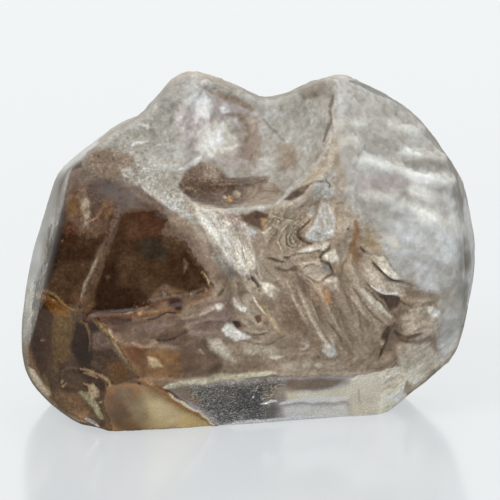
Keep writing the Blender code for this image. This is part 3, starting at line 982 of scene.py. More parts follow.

# %% [markdown]
# ## The clear brown faces
# The cheek and the window are two polished crystal faces that meet in a pale seam. Smoke-brown crystal
# shows through them, with coppery glows where light comes up from behind; these glows are painted light.
# An iron-stained crack crosses below them.

# %% The cheek
lay_all((
    (patch, at(-168, 58, -156, 71, -133, 67, -111, 58, -106, 40, -115, 9, -133, -14, -138, -50, -166, -50,
        -187, -35, -180, -4), 0.2, UMBER, 1.0),
    (patch, at(-145, 88, -122, 92, -101, 81, -95, 65, -106, 51, -131, 62, -147, 58,
        -157, 64), 0.25, DIM_GREY, 0.85, 0.01),
    (patch, at(-131, 81, -113, 83, -106, 72, -120, 67), 0.15, SMOKE, 0.7),
    (patch, at(-165, 60, -161, 69, -154, 75, -147, 79, -147, 74, -154, 70, -160, 63,
        -164, 53), 0.05, DEEP_BROWN, 0.95, -0.02),
    (patch, at(-152, 71, -144, 72, -154, 60, -159, 48, -164, 48, -160, 60), 0.08, MAUVE, 0.85, 0.02),
    (patch, at(-163, 44, -152, 55, -141, 60, -138, 51, -140, 34, -147, 25, -164, 25), 0.3, SMOKE, 0.9),
    # From here the copper, fawn, tan and bronze marks paint the glow of light that comes up from behind.
    (patch, at(-161, 44, -150, 46, -149, 32, -163, 30), 0.26, COPPER, 0.7),
    (patch, at(-145, 58, -134, 64, -124, 62, -118, 53, -116, 32, -122, 25, -126, 39, -133, 37, -138, 32,
        -141, 44), 0.12, DEEP_BROWN, 0.95),
    (patch, at(-140, 48, -133, 50, -133, 35, -138, 34), 0.10, DARK_MAUVE, 0.6),
    (patch, at(-146, 50, -141, 44, -140, 30, -141, 19, -144, 23, -147, 37), 0.10, FAWN, 0.9),
    (stroke, at(-140, 25, -134, 28, -131, 35, -127, 41), 0.06, BISCUIT, 0.8),
    (stroke, at(-124, 34, -120, 38, -117, 35), 0.05, TAN, 0.85),
    (spot, at(-143, 22), 0.13, BONE, 0.75),
    (patch, at(-130, 46, -125, 50, -118, 46, -118, 34, -127, 29, -131, 35), 0.14, RUST, 0.9),
    (spot, at(-126, 41), 0.13, BRONZE, 0.7),
    (spot, at(-122, 34), 0.10, BROWN, 0.7),
    (patch, at(-147, 23, -133, 23, -122, 28, -126, 14, -138, 9, -147, 12), 0.14, SMOKE, 0.85),
    (spot, at(-141, 18), 0.12, TAUPE, 0.7),
    (patch, at(-164, 25, -152, 25, -149, 12, -152, 4, -170, 7), 0.14, DARK_RUST, 0.9),
    (patch, at(-175, 9, -163, 7, -152, 0, -147, 5, -133, 4, -134, -7, -149, -11, -168, -14,
        -179, -12), 0.16, DEEP_BROWN, 0.95),
    (patch, at(-180, -16, -163, -12, -140, -12, -141, -27, -149, -41, -166, -44,
        -184, -34), 0.2, SMOKE, 0.9),
    (patch, at(-164, 48, -160, 44, -163, 25, -166, 4, -171, -18, -179, -34, -187, -33, -181, -11, -174, 12,
        -169, 32), 0.08, PITCH, 0.9),
    (stroke, at(-165, 9, -163, 8), 0.05, BISCUIT, 0.9),
    (stroke, at(-172, -13, -166, -10), 0.04, SMOKE, 0.8),
))

# %% The window and the seam
lay_all((
    (patch, at(-115, 34, -104, 37, -85, 36, -69, 28, -57, 12, -42, -7, -32, -34, -55, -37, -74, -30,
        -87, -44, -104, -53, -135, -57, -135, -44, -127, -11), 0.12, UMBER, 1.0),
    (patch, at(-111, 32, -88, 35, -72, 27, -74, 14, -95, 9, -111, 12), 0.2, ROSEWOOD, 0.9),
    (patch, at(-111, 25, -97, 27, -94, 14, -106, 9), 0.14, SMOKE, 0.7),
    (patch, at(-99, 9, -74, 12, -69, 0, -74, -11, -94, -9), 0.18, CHARCOAL, 0.95),
    (patch, at(-115, -9, -95, -7, -76, -16, -78, -30, -92, -35, -111, -27), 0.3, SMOKE, 0.9),
    (patch, at(-131, -11, -117, -11, -115, -28, -104, -41, -113, -54, -134, -56,
        -136, -44), 0.2, DARK_SMOKE, 0.95),
    (patch, at(-115, -34, -95, -35, -88, -42, -104, -53, -117, -53), 0.14, DARK_SMOKE, 0.85),
    (patch, at(-72, 0, -60, 4, -46, -11, -37, -30, -51, -37, -67, -30), 0.18, DEEP_BROWN, 0.95),
    (patch, at(-76, 21, -64, 19, -55, 4, -62, -5, -74, 2), 0.14, SMOKE, 0.8),
    (stroke, at(-57, -7, -53, -12, -55, -19), 0.06, CLAY, 0.7),
    (spot, at(-67, 4), 0.12, DARK_MAUVE, 0.8),
    (patch, at(-95, -50, -85, -41, -78, -34, -64, -34, -55, -37, -60, -44,
        -78, -47), 0.10, SMOKE, 0.9, 0.01),
    (spot, at(-67, -37), 0.14, TAN, 0.7),
    (stroke, at(-114, 37, -119, 21, -124, 7, -131, -7, -136, -21, -143, -37, -149, -51), 0.22, MAUVE, 0.9),
    (stroke, at(-115, 32, -122, 16, -126, 4), 0.12, MAUVE, 0.7),
    (stroke, at(-126, 7, -132, -7, -137, -19), 0.09, TAUPE, 0.85, 0.02),
    (stroke, at(-133, -7, -137, -18, -142, -28, -148, -42), 0.07, BEIGE, 0.9, 0.03),
    (stroke, at(-128, -11, -133, -27, -138, -44), 0.07, BROWN, 0.7),
    (patch, at(-145, -37, -135, -35, -136, -48, -143, -55, -154, -51), 0.12, BROWN, 0.85),
    (stroke, at(-122, 30, -124, 21, -124, 12), 0.06, DEEP_BROWN, 0.75),
    (stroke, at(-55, 0, -50, -4, -44, -8), 0.045, TAN, 0.8, 0.02),
    (stroke, at(-42, -19, -39, -22, -36, -27, -33, -34), 0.045, PALE_GOLD, 0.95, 0.02),
    (stroke, at(-42, -13, -39, -18), 0.08, PITCH, 0.9, -0.03),
    (stroke, at(-38, -21, -34, -27, -31, -33), 0.05, PITCH, 0.9, -0.03),
    (spot, at(-124, -23), 0.10, DIM_GREY, 0.8),
    (spot, at(-107, -11), 0.06, SMOKE, 0.8),
))

# %% Frosted ground round the window
lay_all((
    (patch, at(-115, 57, -95, 58, -78, 42, -64, 32, -71, 28, -87, 36, -104, 38,
        -115, 35), 0.14, DARK_MAUVE, 0.9),
    (patch, at(-101, 48, -87, 44, -74, 34, -87, 35, -99, 39), 0.10, UMBER, 0.6),
    (patch, at(-71, 30, -57, 32, -46, 16, -51, 4, -58, 9, -67, 19), 0.16, TAUPE, 0.9),
    (patch, at(-57, 12, -39, 12, -25, -4, -23, -19, -32, -30, -39, -18, -48, -5), 0.16, MAUVE, 0.9),
    (patch, at(-39, -11, -21, -5, -11, -16, -16, -34, -30, -37), 0.16, BROWN, 0.8),
    (patch, at(-30, 5, -18, -4, -11, -16, -14, -28, -25, -19), 0.12, DUSK, 0.75),
    (patch, at(-48, 21, -37, 16, -28, 4, -39, 5), 0.12, PALE_GREY, 0.7),
))

# %% [markdown]
# ## Below the crack
# Below the stained crack the corner is clear again, and it is full of older, healed cracks. They show as
# curved pale lines, dark columns and mauve shades. Iron stain glows gold where light gets behind it: the
# stain is its own colour, the glow is painted light. The foot is a polished wedge, and the light it catches
# from the sheet is painted into its colour.

# %% The lower corner
lay_all((
    (patch, at(-193, -35, -164, -48, -138, -60, -95, -111, -85, -122, -27, -156, -115, -162, -153, -154,
        -180, -136, -200, -97, -202, -62), 0.12, SMOKE, 1.0),
    (patch, at(-189, -44, -177, -45, -171, -62, -171, -88, -180, -110, -187, -108,
        -195, -84), 0.12, UMBER, 0.95),
    (patch, at(-193, -69, -184, -71, -180, -90, -186, -103, -194, -87), 0.12, DEEP_BROWN, 0.7),
    (patch, at(-171, -50, -159, -51, -156, -60, -157, -74, -156, -90, -164, -101, -171, -111,
        -174, -83), 0.12, BRONZE, 0.95),
    (patch, at(-170, -71, -159, -71, -158, -88, -168, -94), 0.14, BRONZE, 0.7),
    (patch, at(-184, -35, -176, -41, -168, -47, -159, -52, -159, -60, -170, -60, -178, -50,
        -184, -42), 0.08, ORANGE, 0.9),
    (stroke, at(-185, -34, -175, -37, -168, -42, -163, -48, -154, -53), 0.055, GOLD, 0.9, 0.02),
    (stroke, at(-177, -41, -170, -47, -163, -52), 0.06, AMBER, 0.8),
    (patch, at(-155, -74, -152, -65, -144, -64, -139, -74, -135, -88, -138, -101, -145, -106, -151, -103,
        -156, -90), 0.12, PITCH, 0.95),
    (patch, at(-152, -71, -145, -71, -143, -85, -150, -88), 0.10, DARK_RUST, 0.6),
    (patch, at(-147, -63, -137, -64, -132, -71, -138, -75, -142, -69), 0.05, DARK_SMOKE, 0.9),
    (stroke, at(-149, -62, -144, -66, -141, -73, -139, -83, -140, -90), 0.05, TAN, 0.95, 0.03),
    (patch, at(-138, -74, -130, -70, -118, -83, -100, -108, -108, -118, -126, -113,
        -138, -95), 0.06, SMOKE, 0.95),
    (patch, at(-138, -76, -130, -72, -120, -83, -126, -91, -136, -88), 0.10, DUSK, 0.9),
    (patch, at(-138, -88, -120, -87, -111, -96, -126, -104, -137, -99), 0.12, UMBER, 0.8),
    (patch, at(-126, -99, -111, -98, -102, -110, -111, -118, -125, -114), 0.12, COPPER, 0.85),
    (spot, at(-137, -100), 0.07, BROWN, 0.7),
    (stroke, at(-131, -119, -120, -118, -111, -122, -101, -120), 0.06, RED_RUST, 0.8),
    (patch, at(-168, -101, -152, -98, -138, -103, -127, -110, -120, -123, -127, -126, -141, -121,
        -164, -124), 0.07, DEEP_BROWN, 0.95),
    (patch, at(-166, -107, -152, -107, -143, -116, -149, -123, -164, -121), 0.10, BROWN, 0.85),
    (patch, at(-164, -101, -156, -98, -150, -103, -161, -106), 0.07, SMOKE, 0.7),
    (stroke, at(-164, -106, -157, -104, -150, -105), 0.05, TAUPE, 0.8),
    (stroke, at(-149, -104, -141, -106, -133, -110, -127, -114, -123, -118,
        -121, -124), 0.062, PALE_GOLD, 0.95, 0.05),
    (stroke, at(-146, -108, -138, -110, -133, -114), 0.045, STRAW, 0.9),
    (stroke, at(-132, -112, -126, -118, -126, -125), 0.045, BISCUIT, 0.7),
    (patch, at(-141, -121, -137, -118, -133, -123, -132, -130, -137, -133,
        -140, -127), 0.05, VANILLA, 0.95, 0.02),
    (stroke, at(-146, -118, -141, -119, -139, -125, -141, -129), 0.05, STRAW, 0.9),
    (stroke, at(-165, -118, -163, -115), 0.04, STRAW, 0.9),
    (stroke, at(-165, -121, -161, -118), 0.04, PALE_GOLD, 0.9),
    (stroke, at(-131, -136, -126, -133), 0.05, STRAW, 0.9),
    (stroke, at(-149, -126, -141, -131, -134, -139, -129, -149), 0.15, PALE_OLIVE, 0.85),
    (patch, at(-175, -124, -147, -127, -141, -141, -145, -151, -168, -140), 0.18, TAN, 0.85),
    (stroke, at(-144, -148, -139, -151, -133, -156), 0.07, LEMON, 0.9),
    (stroke, at(-184, -80, -179, -80), 0.04, BISCUIT, 0.9),
    (stroke, at(-181, -110, -178, -117, -175, -126), 0.06, OLIVE, 0.7),
    (patch, at(-201, -76, -196, -80, -194, -95, -195, -103, -200, -94), 0.06, CLAY, 0.8),
    (patch, at(-195, -103, -190, -106, -182, -117, -175, -127, -179, -132, -189, -118), 0.07, SHELL, 0.85),
    (spot, at(-149, -50), 0.07, DEEP_BROWN, 0.9),
))

# %% The foot
# The foot's wheat, vanilla and honey are painted light that it catches from the sheet.
lay_all((
    (patch, at(-126, -122, -113, -118, -97, -118, -85, -122, -27, -156, -113, -162, -127, -157,
        -128, -136), 0.08, TAN, 1.0),
    (patch, at(-92, -126, -71, -134, -32, -156, -87, -159, -101, -147), 0.35, WHEAT, 0.95),
    (patch, at(-88, -131, -69, -138, -58, -147, -81, -150), 0.25, VANILLA, 0.6),
    (patch, at(-127, -129, -113, -129, -103, -147, -115, -157, -127, -150), 0.22, BROWN, 0.9),
    (patch, at(-118, -120, -101, -122, -104, -134, -118, -133), 0.16, DIM_GREY, 0.8),
    (patch, at(-106, -133, -92, -131, -87, -150, -99, -156), 0.2, FAWN, 0.7),
    (patch, at(-57, -145, -32, -154, -34, -157, -62, -156), 0.12, HONEY, 0.7),
))

# %% The olive corner above the mauve triangle, and the pale line
lay_all((
    (patch, at(-147, -55, -131, -57, -103, -60, -110, -71, -120, -75, -129, -67,
        -140, -62), 0.08, ROSEWOOD, 0.95),
    (stroke, at(-138, -63, -131, -67, -124, -73, -117, -81), 0.15, TAN, 0.9),
    (stroke, at(-133, -65, -126, -72, -120, -78), 0.08, CHAMOIS, 0.9),
    (stroke, at(-126, -78, -118, -88, -110, -97, -102, -107), 0.09, CLAY, 0.8),
    (stroke, at(-122, -77, -116, -86, -110, -94, -103, -102), 0.07, CHAMOIS, 0.95),
    (stroke, at(-108, -95, -103, -102, -97, -109), 0.09, CHAMOIS, 0.95),
    (spot, at(-123, -73), 0.10, PALE_OLIVE, 0.7),
    (stroke, at(-146, -63, -141, -57, -136, -55), 0.05, DARK_RUST, 0.85, -0.02),
    (stroke, at(-143, -65, -139, -59, -133, -57), 0.04, COPPER, 0.7),
    (stroke, at(-129, -63, -126, -66), 0.05, DARK_RUST, 0.9),
    (spot, at(-96, -118), 0.07, SOOT, 1.0, -0.02),
))

# %% The stained crack, the painted glow under it and the grey layers
lay_all((
    (patch, at(-103, -53, -90, -47, -71, -45, -55, -41, -44, -37, -32, -34, -31, -41, -42, -44, -57, -50,
        -58, -56, -94, -61, -103, -60), 0.06, RUST, 0.95),
    (patch, at(-134, -57, -103, -57, -101, -64, -120, -67), 0.07, DEEP_BROWN, 0.9),
    (stroke, at(-137, -56, -127, -57, -115, -58, -102, -58), 0.10, RED_RUST, 1.0),
    (stroke, at(-140, -53, -129, -51, -115, -51, -103, -50, -90, -46), 0.09, DARK_SMOKE, 0.9),
    (stroke, at(-138, -54, -129, -54, -118, -55, -104, -54, -92, -50), 0.055, BLACK_RUST, 1.0),
    (stroke, at(-122, -60, -110, -61, -101, -63), 0.06, DARK_SMOKE, 0.8, -0.01),
    (stroke, at(-103, -53, -90, -48, -71, -44, -55, -41), 0.05, DARK_RUST, 0.8),
    (patch, at(-72, -46, -66, -42, -59, -43, -57, -52, -63, -54, -70, -50), 0.06, BLACK_RUST, 1.0),
    (stroke, at(-91, -54, -86, -51, -81, -51), 0.05, BLACK_RUST, 0.95, -0.01),
    (patch, at(-48, -41, -42, -37, -36, -34, -32, -36, -37, -42, -45, -44), 0.05, RUST, 0.85),
    (stroke, at(-55, -42, -46, -39, -37, -34, -33, -30), 0.035, DARK_RUST, 0.7, -0.02),
    (patch, at(-101, -55, -95, -53, -95, -60, -101, -59), 0.06, RUST, 0.8),
    (spot, at(-95, -57), 0.08, OLD_GOLD, 0.9),
    (spot, at(-101, -60), 0.06, ORANGE, 0.8),
    (stroke, at(-102, -63, -94, -64), 0.05, OLIVE, 0.8),
    (spot, at(-81, -56), 0.06, BRONZE, 0.8),
    (spot, at(-71, -48), 0.06, RUST, 0.7),
    (patch, at(-120, -69, -101, -62, -64, -57, -53, -62, -60, -74, -82, -78, -111, -78), 0.10, SMOKE, 0.95),
    (patch, at(-106, -67, -78, -64, -62, -65, -78, -73, -101, -74), 0.12, MAUVE, 0.8),
    (patch, at(-117, -76, -87, -78, -81, -84, -95, -85, -113, -83), 0.06, BROWN, 0.8),
    (patch, at(-83, -76, -55, -71, -48, -80, -60, -85, -78, -83), 0.12, UMBER, 0.9, -0.02),
    (patch, at(-115, -83, -87, -86, -72, -88, -51, -90, -42, -103, -55, -111, -95, -113,
        -108, -99), 0.12, RUST, 0.95),
    # The glow under the crack: the stain's own rust and copper, brightened as painted light, with a painted
    # gold glint.
    (patch, at(-111, -85, -95, -86, -88, -94, -92, -103, -104, -97), 0.10, RED_RUST, 0.9),
    (patch, at(-90, -90, -72, -88, -64, -99, -76, -108, -88, -104), 0.2, COPPER, 0.85),
    (patch, at(-89, -95, -82, -97, -75, -104, -83, -106, -88, -103), 0.05, CHAMOIS, 0.95, 0.03),
    (spot, at(-85, -100), 0.07, PALE_GOLD, 0.9),
    (patch, at(-71, -88, -50, -88, -42, -101, -57, -108, -69, -103), 0.2, COPPER, 0.85),
    (patch, at(-87, -106, -62, -106, -53, -110, -64, -115, -87, -115), 0.10, COPPER, 0.85),
    (patch, at(-101, -113, -72, -113, -60, -115, -74, -121, -87, -121), 0.07, TAN, 0.85, 0.02),
    (stroke, at(-90, -62, -80, -60, -72, -57, -61, -57), 0.045, PITCH, 1.0, -0.03),
    (stroke, at(-87, -78, -71, -80, -55, -74), 0.045, DARK_SMOKE, 0.9, -0.02),
    (stroke, at(-103, -82, -94, -85, -87, -86, -80, -81), 0.07, BISCUIT, 0.9, 0.03),
    (stroke, at(-57, -58, -50, -57, -42, -53), 0.08, CLAY, 0.8, 0.02),
    (stroke, at(-87, -119, -73, -128, -57, -138, -41, -147, -27, -157), 0.10, AMBER, 0.95, 0.03),
    # a painted highlight along the foot's edge
    (stroke, at(-71, -127, -57, -135, -42, -144, -31, -154), 0.055, BUTTER, 0.95, 0.03),
))

# %% [markdown]
# ## The bevel along the bottom
# A polished strip runs along the foot of the face. It turns down, so it shows the shade in front of the
# stone on its left and the bright sheet on its right; both are painted into its colour, as painted shade
# and a painted reflection, and its bottom edge carries a painted highlight. Handling has scratched it.
# Its top edge is worn to a cream line.

# %% Bevel
# Painted shade in the grey left half, a painted reflection of the bright sheet in the white right half.
lay_all((
    (patch, at(-74, -120, 19, -113, 90, -110, 117, -109, 117, -147, 46, -149, -27, -155), 0.05, LILAC, 1.0),
    (patch, at(-57, -121, 18, -116, 39, -115, 25, -133, 25, -149, -25, -153,
        -42, -140), 0.16, IRON_GREY, 0.95),
    (patch, at(-42, -122, 12, -118, 12, -150, -23, -152, -37, -138), 0.22, STEEL, 0.75),
    (patch, at(-12, -122, 12, -120, 12, -140, -7, -141), 0.14, SLATE, 0.7),
    (patch, at(-71, -122, -55, -120, -46, -129, -39, -138, -55, -133), 0.06, CLAY, 0.9),
    (patch, at(34, -115, 65, -113, 85, -115, 76, -122, 46, -124, 34, -124), 0.10, TAUPE, 0.9),
    (patch, at(12, -126, 37, -122, 42, -129, 19, -136), 0.16, SAND, 0.8),
    (patch, at(34, -127, 72, -124, 92, -118, 92, -133, 35, -134), 0.14, BUTTER, 0.9),
    (stroke, at(28, -136, 46, -133, 65, -132, 88, -131), 0.10, WHITE, 0.9),
    (patch, at(28, -139, 87, -136, 90, -146, 34, -150), 0.12, SNOW, 0.9),
    (patch, at(44, -137, 72, -136, 74, -143, 48, -145), 0.10, FROST_WHITE, 0.7),
    (patch, at(90, -113, 117, -111, 117, -145, 90, -147), 0.14, CREAM, 0.9),
    (stroke, at(-74, -122, -58, -118, -29, -114, -3, -111, 24, -109), 0.14, PALE_OLIVE, 0.95, 0.04),
    (stroke, at(24, -110, 55, -110, 90, -109, 117, -107), 0.10, SAND, 0.85, 0.03),
    # a painted highlight where the bottom edge catches the light
    (stroke, at(-28, -156, -7, -154, 19, -151, 46, -149, 81, -148, 115, -146), 0.09, WHITE, 0.95),
    (stroke, at(11, -136, 19, -134, 26, -133), 0.05, WHITE, 0.95, -0.01),
    (stroke, at(4, -125, 9, -121), 0.055, PALE_GREY, 0.9, -0.01),
    (stroke, at(21, -123, 27, -120, 33, -120), 0.04, BEIGE, 0.8, -0.01),
    (stroke, at(25, -124, 32, -122), 0.03, BEIGE, 0.7),
    (spot, at(5, -130), 0.045, SNOW, 0.9),
    (spot, at(14, -131), 0.04, FROST_WHITE, 0.9),
    (stroke, at(-42, -139, -37, -137, -31, -138), 0.04, ASH, 0.8),
    (stroke, at(12, -129, 15, -135), 0.03, PALE_GREY, 0.7),
))

# %% [markdown]
# ## The bowl
# A blow at the top broke out a shell-shaped bowl. Its floor is a clear brown lens under a frosted slope,
# its brightest patch is a painted highlight of the light from above, and its rim is a pale, worn edge
# with a painted shadow under it.

# %% Bowl
lay_all((
    (patch, at(-62, 152, -42, 149, -20, 136, 2, 126, 12, 106, 2, 71, -23, 76, -42, 85, -55, 88,
        -64, 115), 0.3, LILAC, 0.8),
    (patch, at(12, 129, 46, 133, 72, 129, 69, 97, 50, 65, 19, 71, 12, 106), 0.3, GREY, 0.8),
    # painted highlights where the bowl's wall catches the light from above
    (patch, at(-39, 110, -30, 115, -16, 113, -9, 103, -8, 92, -19, 85, -35, 81,
        -46, 90), 0.16, FROST_WHITE, 0.95),
    (patch, at(-35, 106, -23, 110, -18, 95, -32, 88), 0.16, BLUE_WHITE, 0.7),
    (patch, at(-48, 138, -37, 140, -32, 127, -35, 117, -46, 120), 0.16, ICE, 0.85),
    (patch, at(-57, 145, -46, 147, -41, 136, -48, 122, -57, 129), 0.16, SILVER, 0.7),
    (spot, at(-20, 125), 0.22, ICE, 0.8),
    (patch, at(-19, 110, -11, 111, -5, 104, -14, 103), 0.08, ASH, 0.8),
    (stroke, at(-41, 145, -23, 137, -9, 133, 5, 124), 0.15, CLAY, 0.8, -0.03),
    (stroke, at(-37, 138, -25, 131, -9, 124), 0.10, LILAC, 0.7),
    (stroke, at(-19, 120, -7, 118, 0, 110, -2, 95), 0.12, ASH, 0.7, -0.02),
    (patch, at(-58, 154, -39, 152, -7, 141, 7, 136, -11, 136, -37, 141), 0.08, PALE_GREY, 0.7),
    (patch, at(44, 141, 57, 147, 67, 150, 72, 145, 67, 135, 50, 132), 0.10, DIM_GREY, 0.9),
    (patch, at(-9, 122, 9, 118, 12, 88, 7, 72, -7, 81, -4, 103), 0.16, TAUPE, 0.8),
    (stroke, at(12, 117, 21, 106, 32, 97), 0.07, IRON_GREY, 0.7, -0.02),
    (patch, at(25, 94, 44, 92, 42, 71, 27, 69), 0.2, TAUPE, 0.8),
    (patch, at(44, 103, 64, 115, 65, 95, 51, 80), 0.18, GREY, 0.7),
    (stroke, at(76, 136, 74, 124, 72, 113, 68, 103, 65, 95), 0.08, DIM_GREY, 0.85, -0.05),
    (patch, at(-62, 57, -55, 69, -44, 78, -27, 74, -18, 65, 2, 64, 19, 65, 18, 58, 0, 53, -4, 42, -19, 38,
        -39, 41, -55, 48), 0.10, SMOKE, 0.95),
    (patch, at(-60, 58, -53, 71, -42, 76, -32, 69, -37, 58, -53, 57), 0.10, BROWN, 0.85),
    (patch, at(-46, 57, -16, 60, 7, 58, -9, 53, -12, 44, -37, 42), 0.10, UMBER, 0.8),
    (patch, at(-42, 76, -32, 78, -23, 69, -27, 60, -37, 64), 0.10, FAWN, 0.7),
    (patch, at(-23, 74, 0, 72, 12, 69, 2, 65, -18, 65), 0.08, PALE_GREY, 0.8),
    (stroke, at(-57, 55, -51, 55, -46, 51), 0.05, OLIVE, 0.85),
    (stroke, at(-55, 51, -46, 47, -35, 44), 0.04, SMOKE, 0.8),
    (stroke, at(-34, 57, -18, 57, -2, 58), 0.05, CLAY, 0.7),
    (stroke, at(-39, 64, -23, 62, -11, 63), 0.04, DARK_MAUVE, 0.7, -0.02),
    (spot, at(-29, 51), 0.10, SMOKE, 0.7),
    (patch, at(-61, 70, -51, 79, -40, 85, -44, 78, -55, 70), 0.05, FOG, 0.9, 0.03),
    (patch, at(-78, 62, -74, 72, -66, 80, -68, 69, -74, 60), 0.06, GREY, 0.85),
    (spot, at(-65, 77), 0.09, BRONZE, 0.7),
    (patch, at(-4, 53, 12, 58, 28, 57, 35, 50, 19, 41, -2, 39), 0.10, CLAY, 0.9),
    (spot, at(-15, 46), 0.13, OCHRE, 0.9, 0.03),
    (spot, at(-10, 50), 0.13, BONE, 0.8),
    (spot, at(-20, 47), 0.08, BEIGE, 0.7),
    (stroke, at(-32, 41, -23, 42, -19, 40), 0.05, TAUPE, 0.7),
    (spot, at(4, 83), 0.05, DARK_SMOKE, 0.9),
    (spot, at(50, 88), 0.12, SILVER, 0.7),
))
RIPPLE_GAP = 0.20  # millimetres from one ripple of the bowl to the next
FIRST_RIPPLE = np.array(((-0.05, 2.25), (0.55, 2.62), (1.15, 2.60), (1.65, 2.30)))
RIPPLE_WAYS = np.array(((1.0, 0.3), (0.0, 0.6), (0.0, 0.5), (0.3, 0.0)))  # how each point moves over the gap
for ripple in range(4):
    ripple_line = FIRST_RIPPLE + ripple * RIPPLE_GAP * RIPPLE_WAYS
    lay(stroke(ripple_line, 0.035), DIM_GREY, 0.6, -0.02)

# %% The bowl's rim and the painted shade under it
lay_all((
    (patch, at(-62, 53, -46, 42, -20, 36, 12, 39, 25, 41, 37, 51, 51, 67, 62, 80, 69, 95, 78, 106, 85, 88,
        72, 69, 51, 57, 35, 44, 21, 34, -7, 28, -23, 11, -39, 21, -57, 39), 0.10, SAND, 0.85),
    (stroke, at(-60, 50, -50, 42, -37, 38, -20, 35, -3, 35, 12, 37, 25, 41), 0.11, PALE_GREY, 0.95, 0.04),
    (stroke, at(25, 41, 34, 48, 42, 57, 53, 69, 64, 81, 72, 97), 0.12, PALE_GREY, 0.8, 0.03),
    # painted shadow under the rim, with a gold spot in it
    (patch, at(-12, 30, -2, 31, 8, 34, 18, 32, 18, 27, 13, 25, 13, 16, 8, 19, 1, 23,
        -7, 26), 0.05, UMBER, 0.95, -0.08),
    (patch, at(11, 27, 17, 27, 15, 20, 11, 18), 0.04, OLD_GOLD, 0.9),
    (patch, at(4, 30, 12, 33, 14, 28, 7, 26), 0.03, DEEP_BROWN, 0.8, -0.02),
    # a second painted shadow under the rim
    (patch, at(32, 44, 39, 52, 48, 57, 54, 58, 50, 50, 39, 43), 0.05, DEEP_BROWN, 0.9, -0.08),
    (stroke, at(51, 58, 57, 64, 64, 66, 69, 64), 0.07, BEIGE, 0.9, 0.05),
    (stroke, at(68, 64, 72, 59, 73, 55), 0.035, DARK_SMOKE, 0.9, -0.03),
    (stroke, at(51, 57, 60, 61, 67, 61), 0.05, SMOKE, 0.8, -0.03),
    (patch, at(-5, 21, 0, 21, 8, 16, 6, 11, -1, 15), 0.05, SILVER, 0.95),
    (patch, at(11, 15, 18, 20, 26, 24, 23, 17, 16, 11), 0.05, IVORY, 0.9, 0.03),
))

# %% [markdown]
# ## The knocked-out middle
# Below the bowl the fracture ran through in folds. A bright fan of striations opens under the cheek,
# folds close round small pale lenses like the contours of a hill, and dark, thin edges cut between them.

# %% The fan
# The fan's white and cream are partly its own frosted colour and partly painted light on its side that faces
# up.
lay_all((
    (patch, at(-71, 37, -46, 25, -30, 4, -18, -11, -9, -35, -32, -37, -39, -11, -51, 12), 0.14, CLAY, 0.6),
    (patch, at(-48, 42, -28, 37, -7, 32, 2, 12, 7, -11, 2, -27, -7, -21, -19, -11, -32, 4,
        -44, 25), 0.09, SHELL, 0.95, 0.02),
    (patch, at(-46, 39, -32, 35, -21, 21, -14, 4, -7, -16, -16, -9, -30, 7,
        -41, 23), 0.12, FROST_WHITE, 0.9, 0.02),
    (patch, at(-12, 11, -2, 5, 4, -9, 0, -19, -9, -14), 0.07, CREAM, 0.9, 0.02),
    (patch, at(-21, 34, -5, 30, -2, 16, -11, 18), 0.10, DUSK, 0.8),
    (patch, at(-30, 5, -19, -5, -11, -18, -11, -28, -23, -19, -34, -5), 0.10, ASH, 0.8),
))
STRANDS = 11
FIRST_STRAND = np.array(((-1.95, 1.72), (-1.30, 0.62), (-0.62, -0.62)))
STRAND_WAYS = np.array(((1.75, -0.45), (1.20, 0.10), (0.72, 0.10)))  # how each point moves over all strands
LIT_SIDE = np.array(((0.06, 0.0), (0.0, 0.0), (0.05, 0.0)))
for strand in range(STRANDS):
    share = strand / (STRANDS - 1)
    strand_line = FIRST_STRAND + share * STRAND_WAYS
    lay(stroke(strand_line, 0.024) * break_up, CLAY, 0.55, -0.015)
    # a painted highlight on the lit side of each strand
    lay(stroke(strand_line + LIT_SIDE, 0.016), SNOW, 0.35, 0.008)

# %% Folds like the contours of a hill
lay_all((
    (patch, at(9, 5, 18, 21, 32, 34, 46, 42, 65, 44, 78, 34, 76, -11, 62, -30, 44, -23, 25, -16,
        12, -7), 0.16, FAWN, 0.95),
    (patch, at(28, 39, 44, 44, 57, 42, 53, 32, 37, 25, 25, 25), 0.10, SAND, 0.7),
    (patch, at(12, 5, 28, 11, 35, 0, 27, -7, 14, -5), 0.12, CLAY, 0.7),
    (patch, at(57, 43, 63, 42, 60, 32, 51, 25, 51, 32), 0.06, FAWN, 0.8, -0.02),
))
FOLD_LINES = (
    at(44, 44, 35, 37, 27, 32, 16, 21),
    at(50, 39, 39, 34, 28, 27, 18, 17),
    at(44, 27, 37, 27, 30, 25, 25, 27),
    at(46, 30, 36, 24, 30, 16, 27, 9, 32, 2),
    at(47, 27, 39, 20, 34, 13, 35, 6, 42, 1),
    at(49, 25, 42, 19, 37, 12, 39, 6, 46, 2),
    at(50, 23, 45, 17, 41, 11, 44, 5, 53, 2),
    at(19, 32, 30, 28, 41, 27),
    at(34, 28, 28, 23, 23, 14, 18, 7),
)
for line in FOLD_LINES:
    lay(stroke(line, 0.034), BROWN, 0.72, -0.028)
    lay(stroke(line - (0.075, 0.03), 0.032), PALE_OLIVE, 0.6, 0.02)
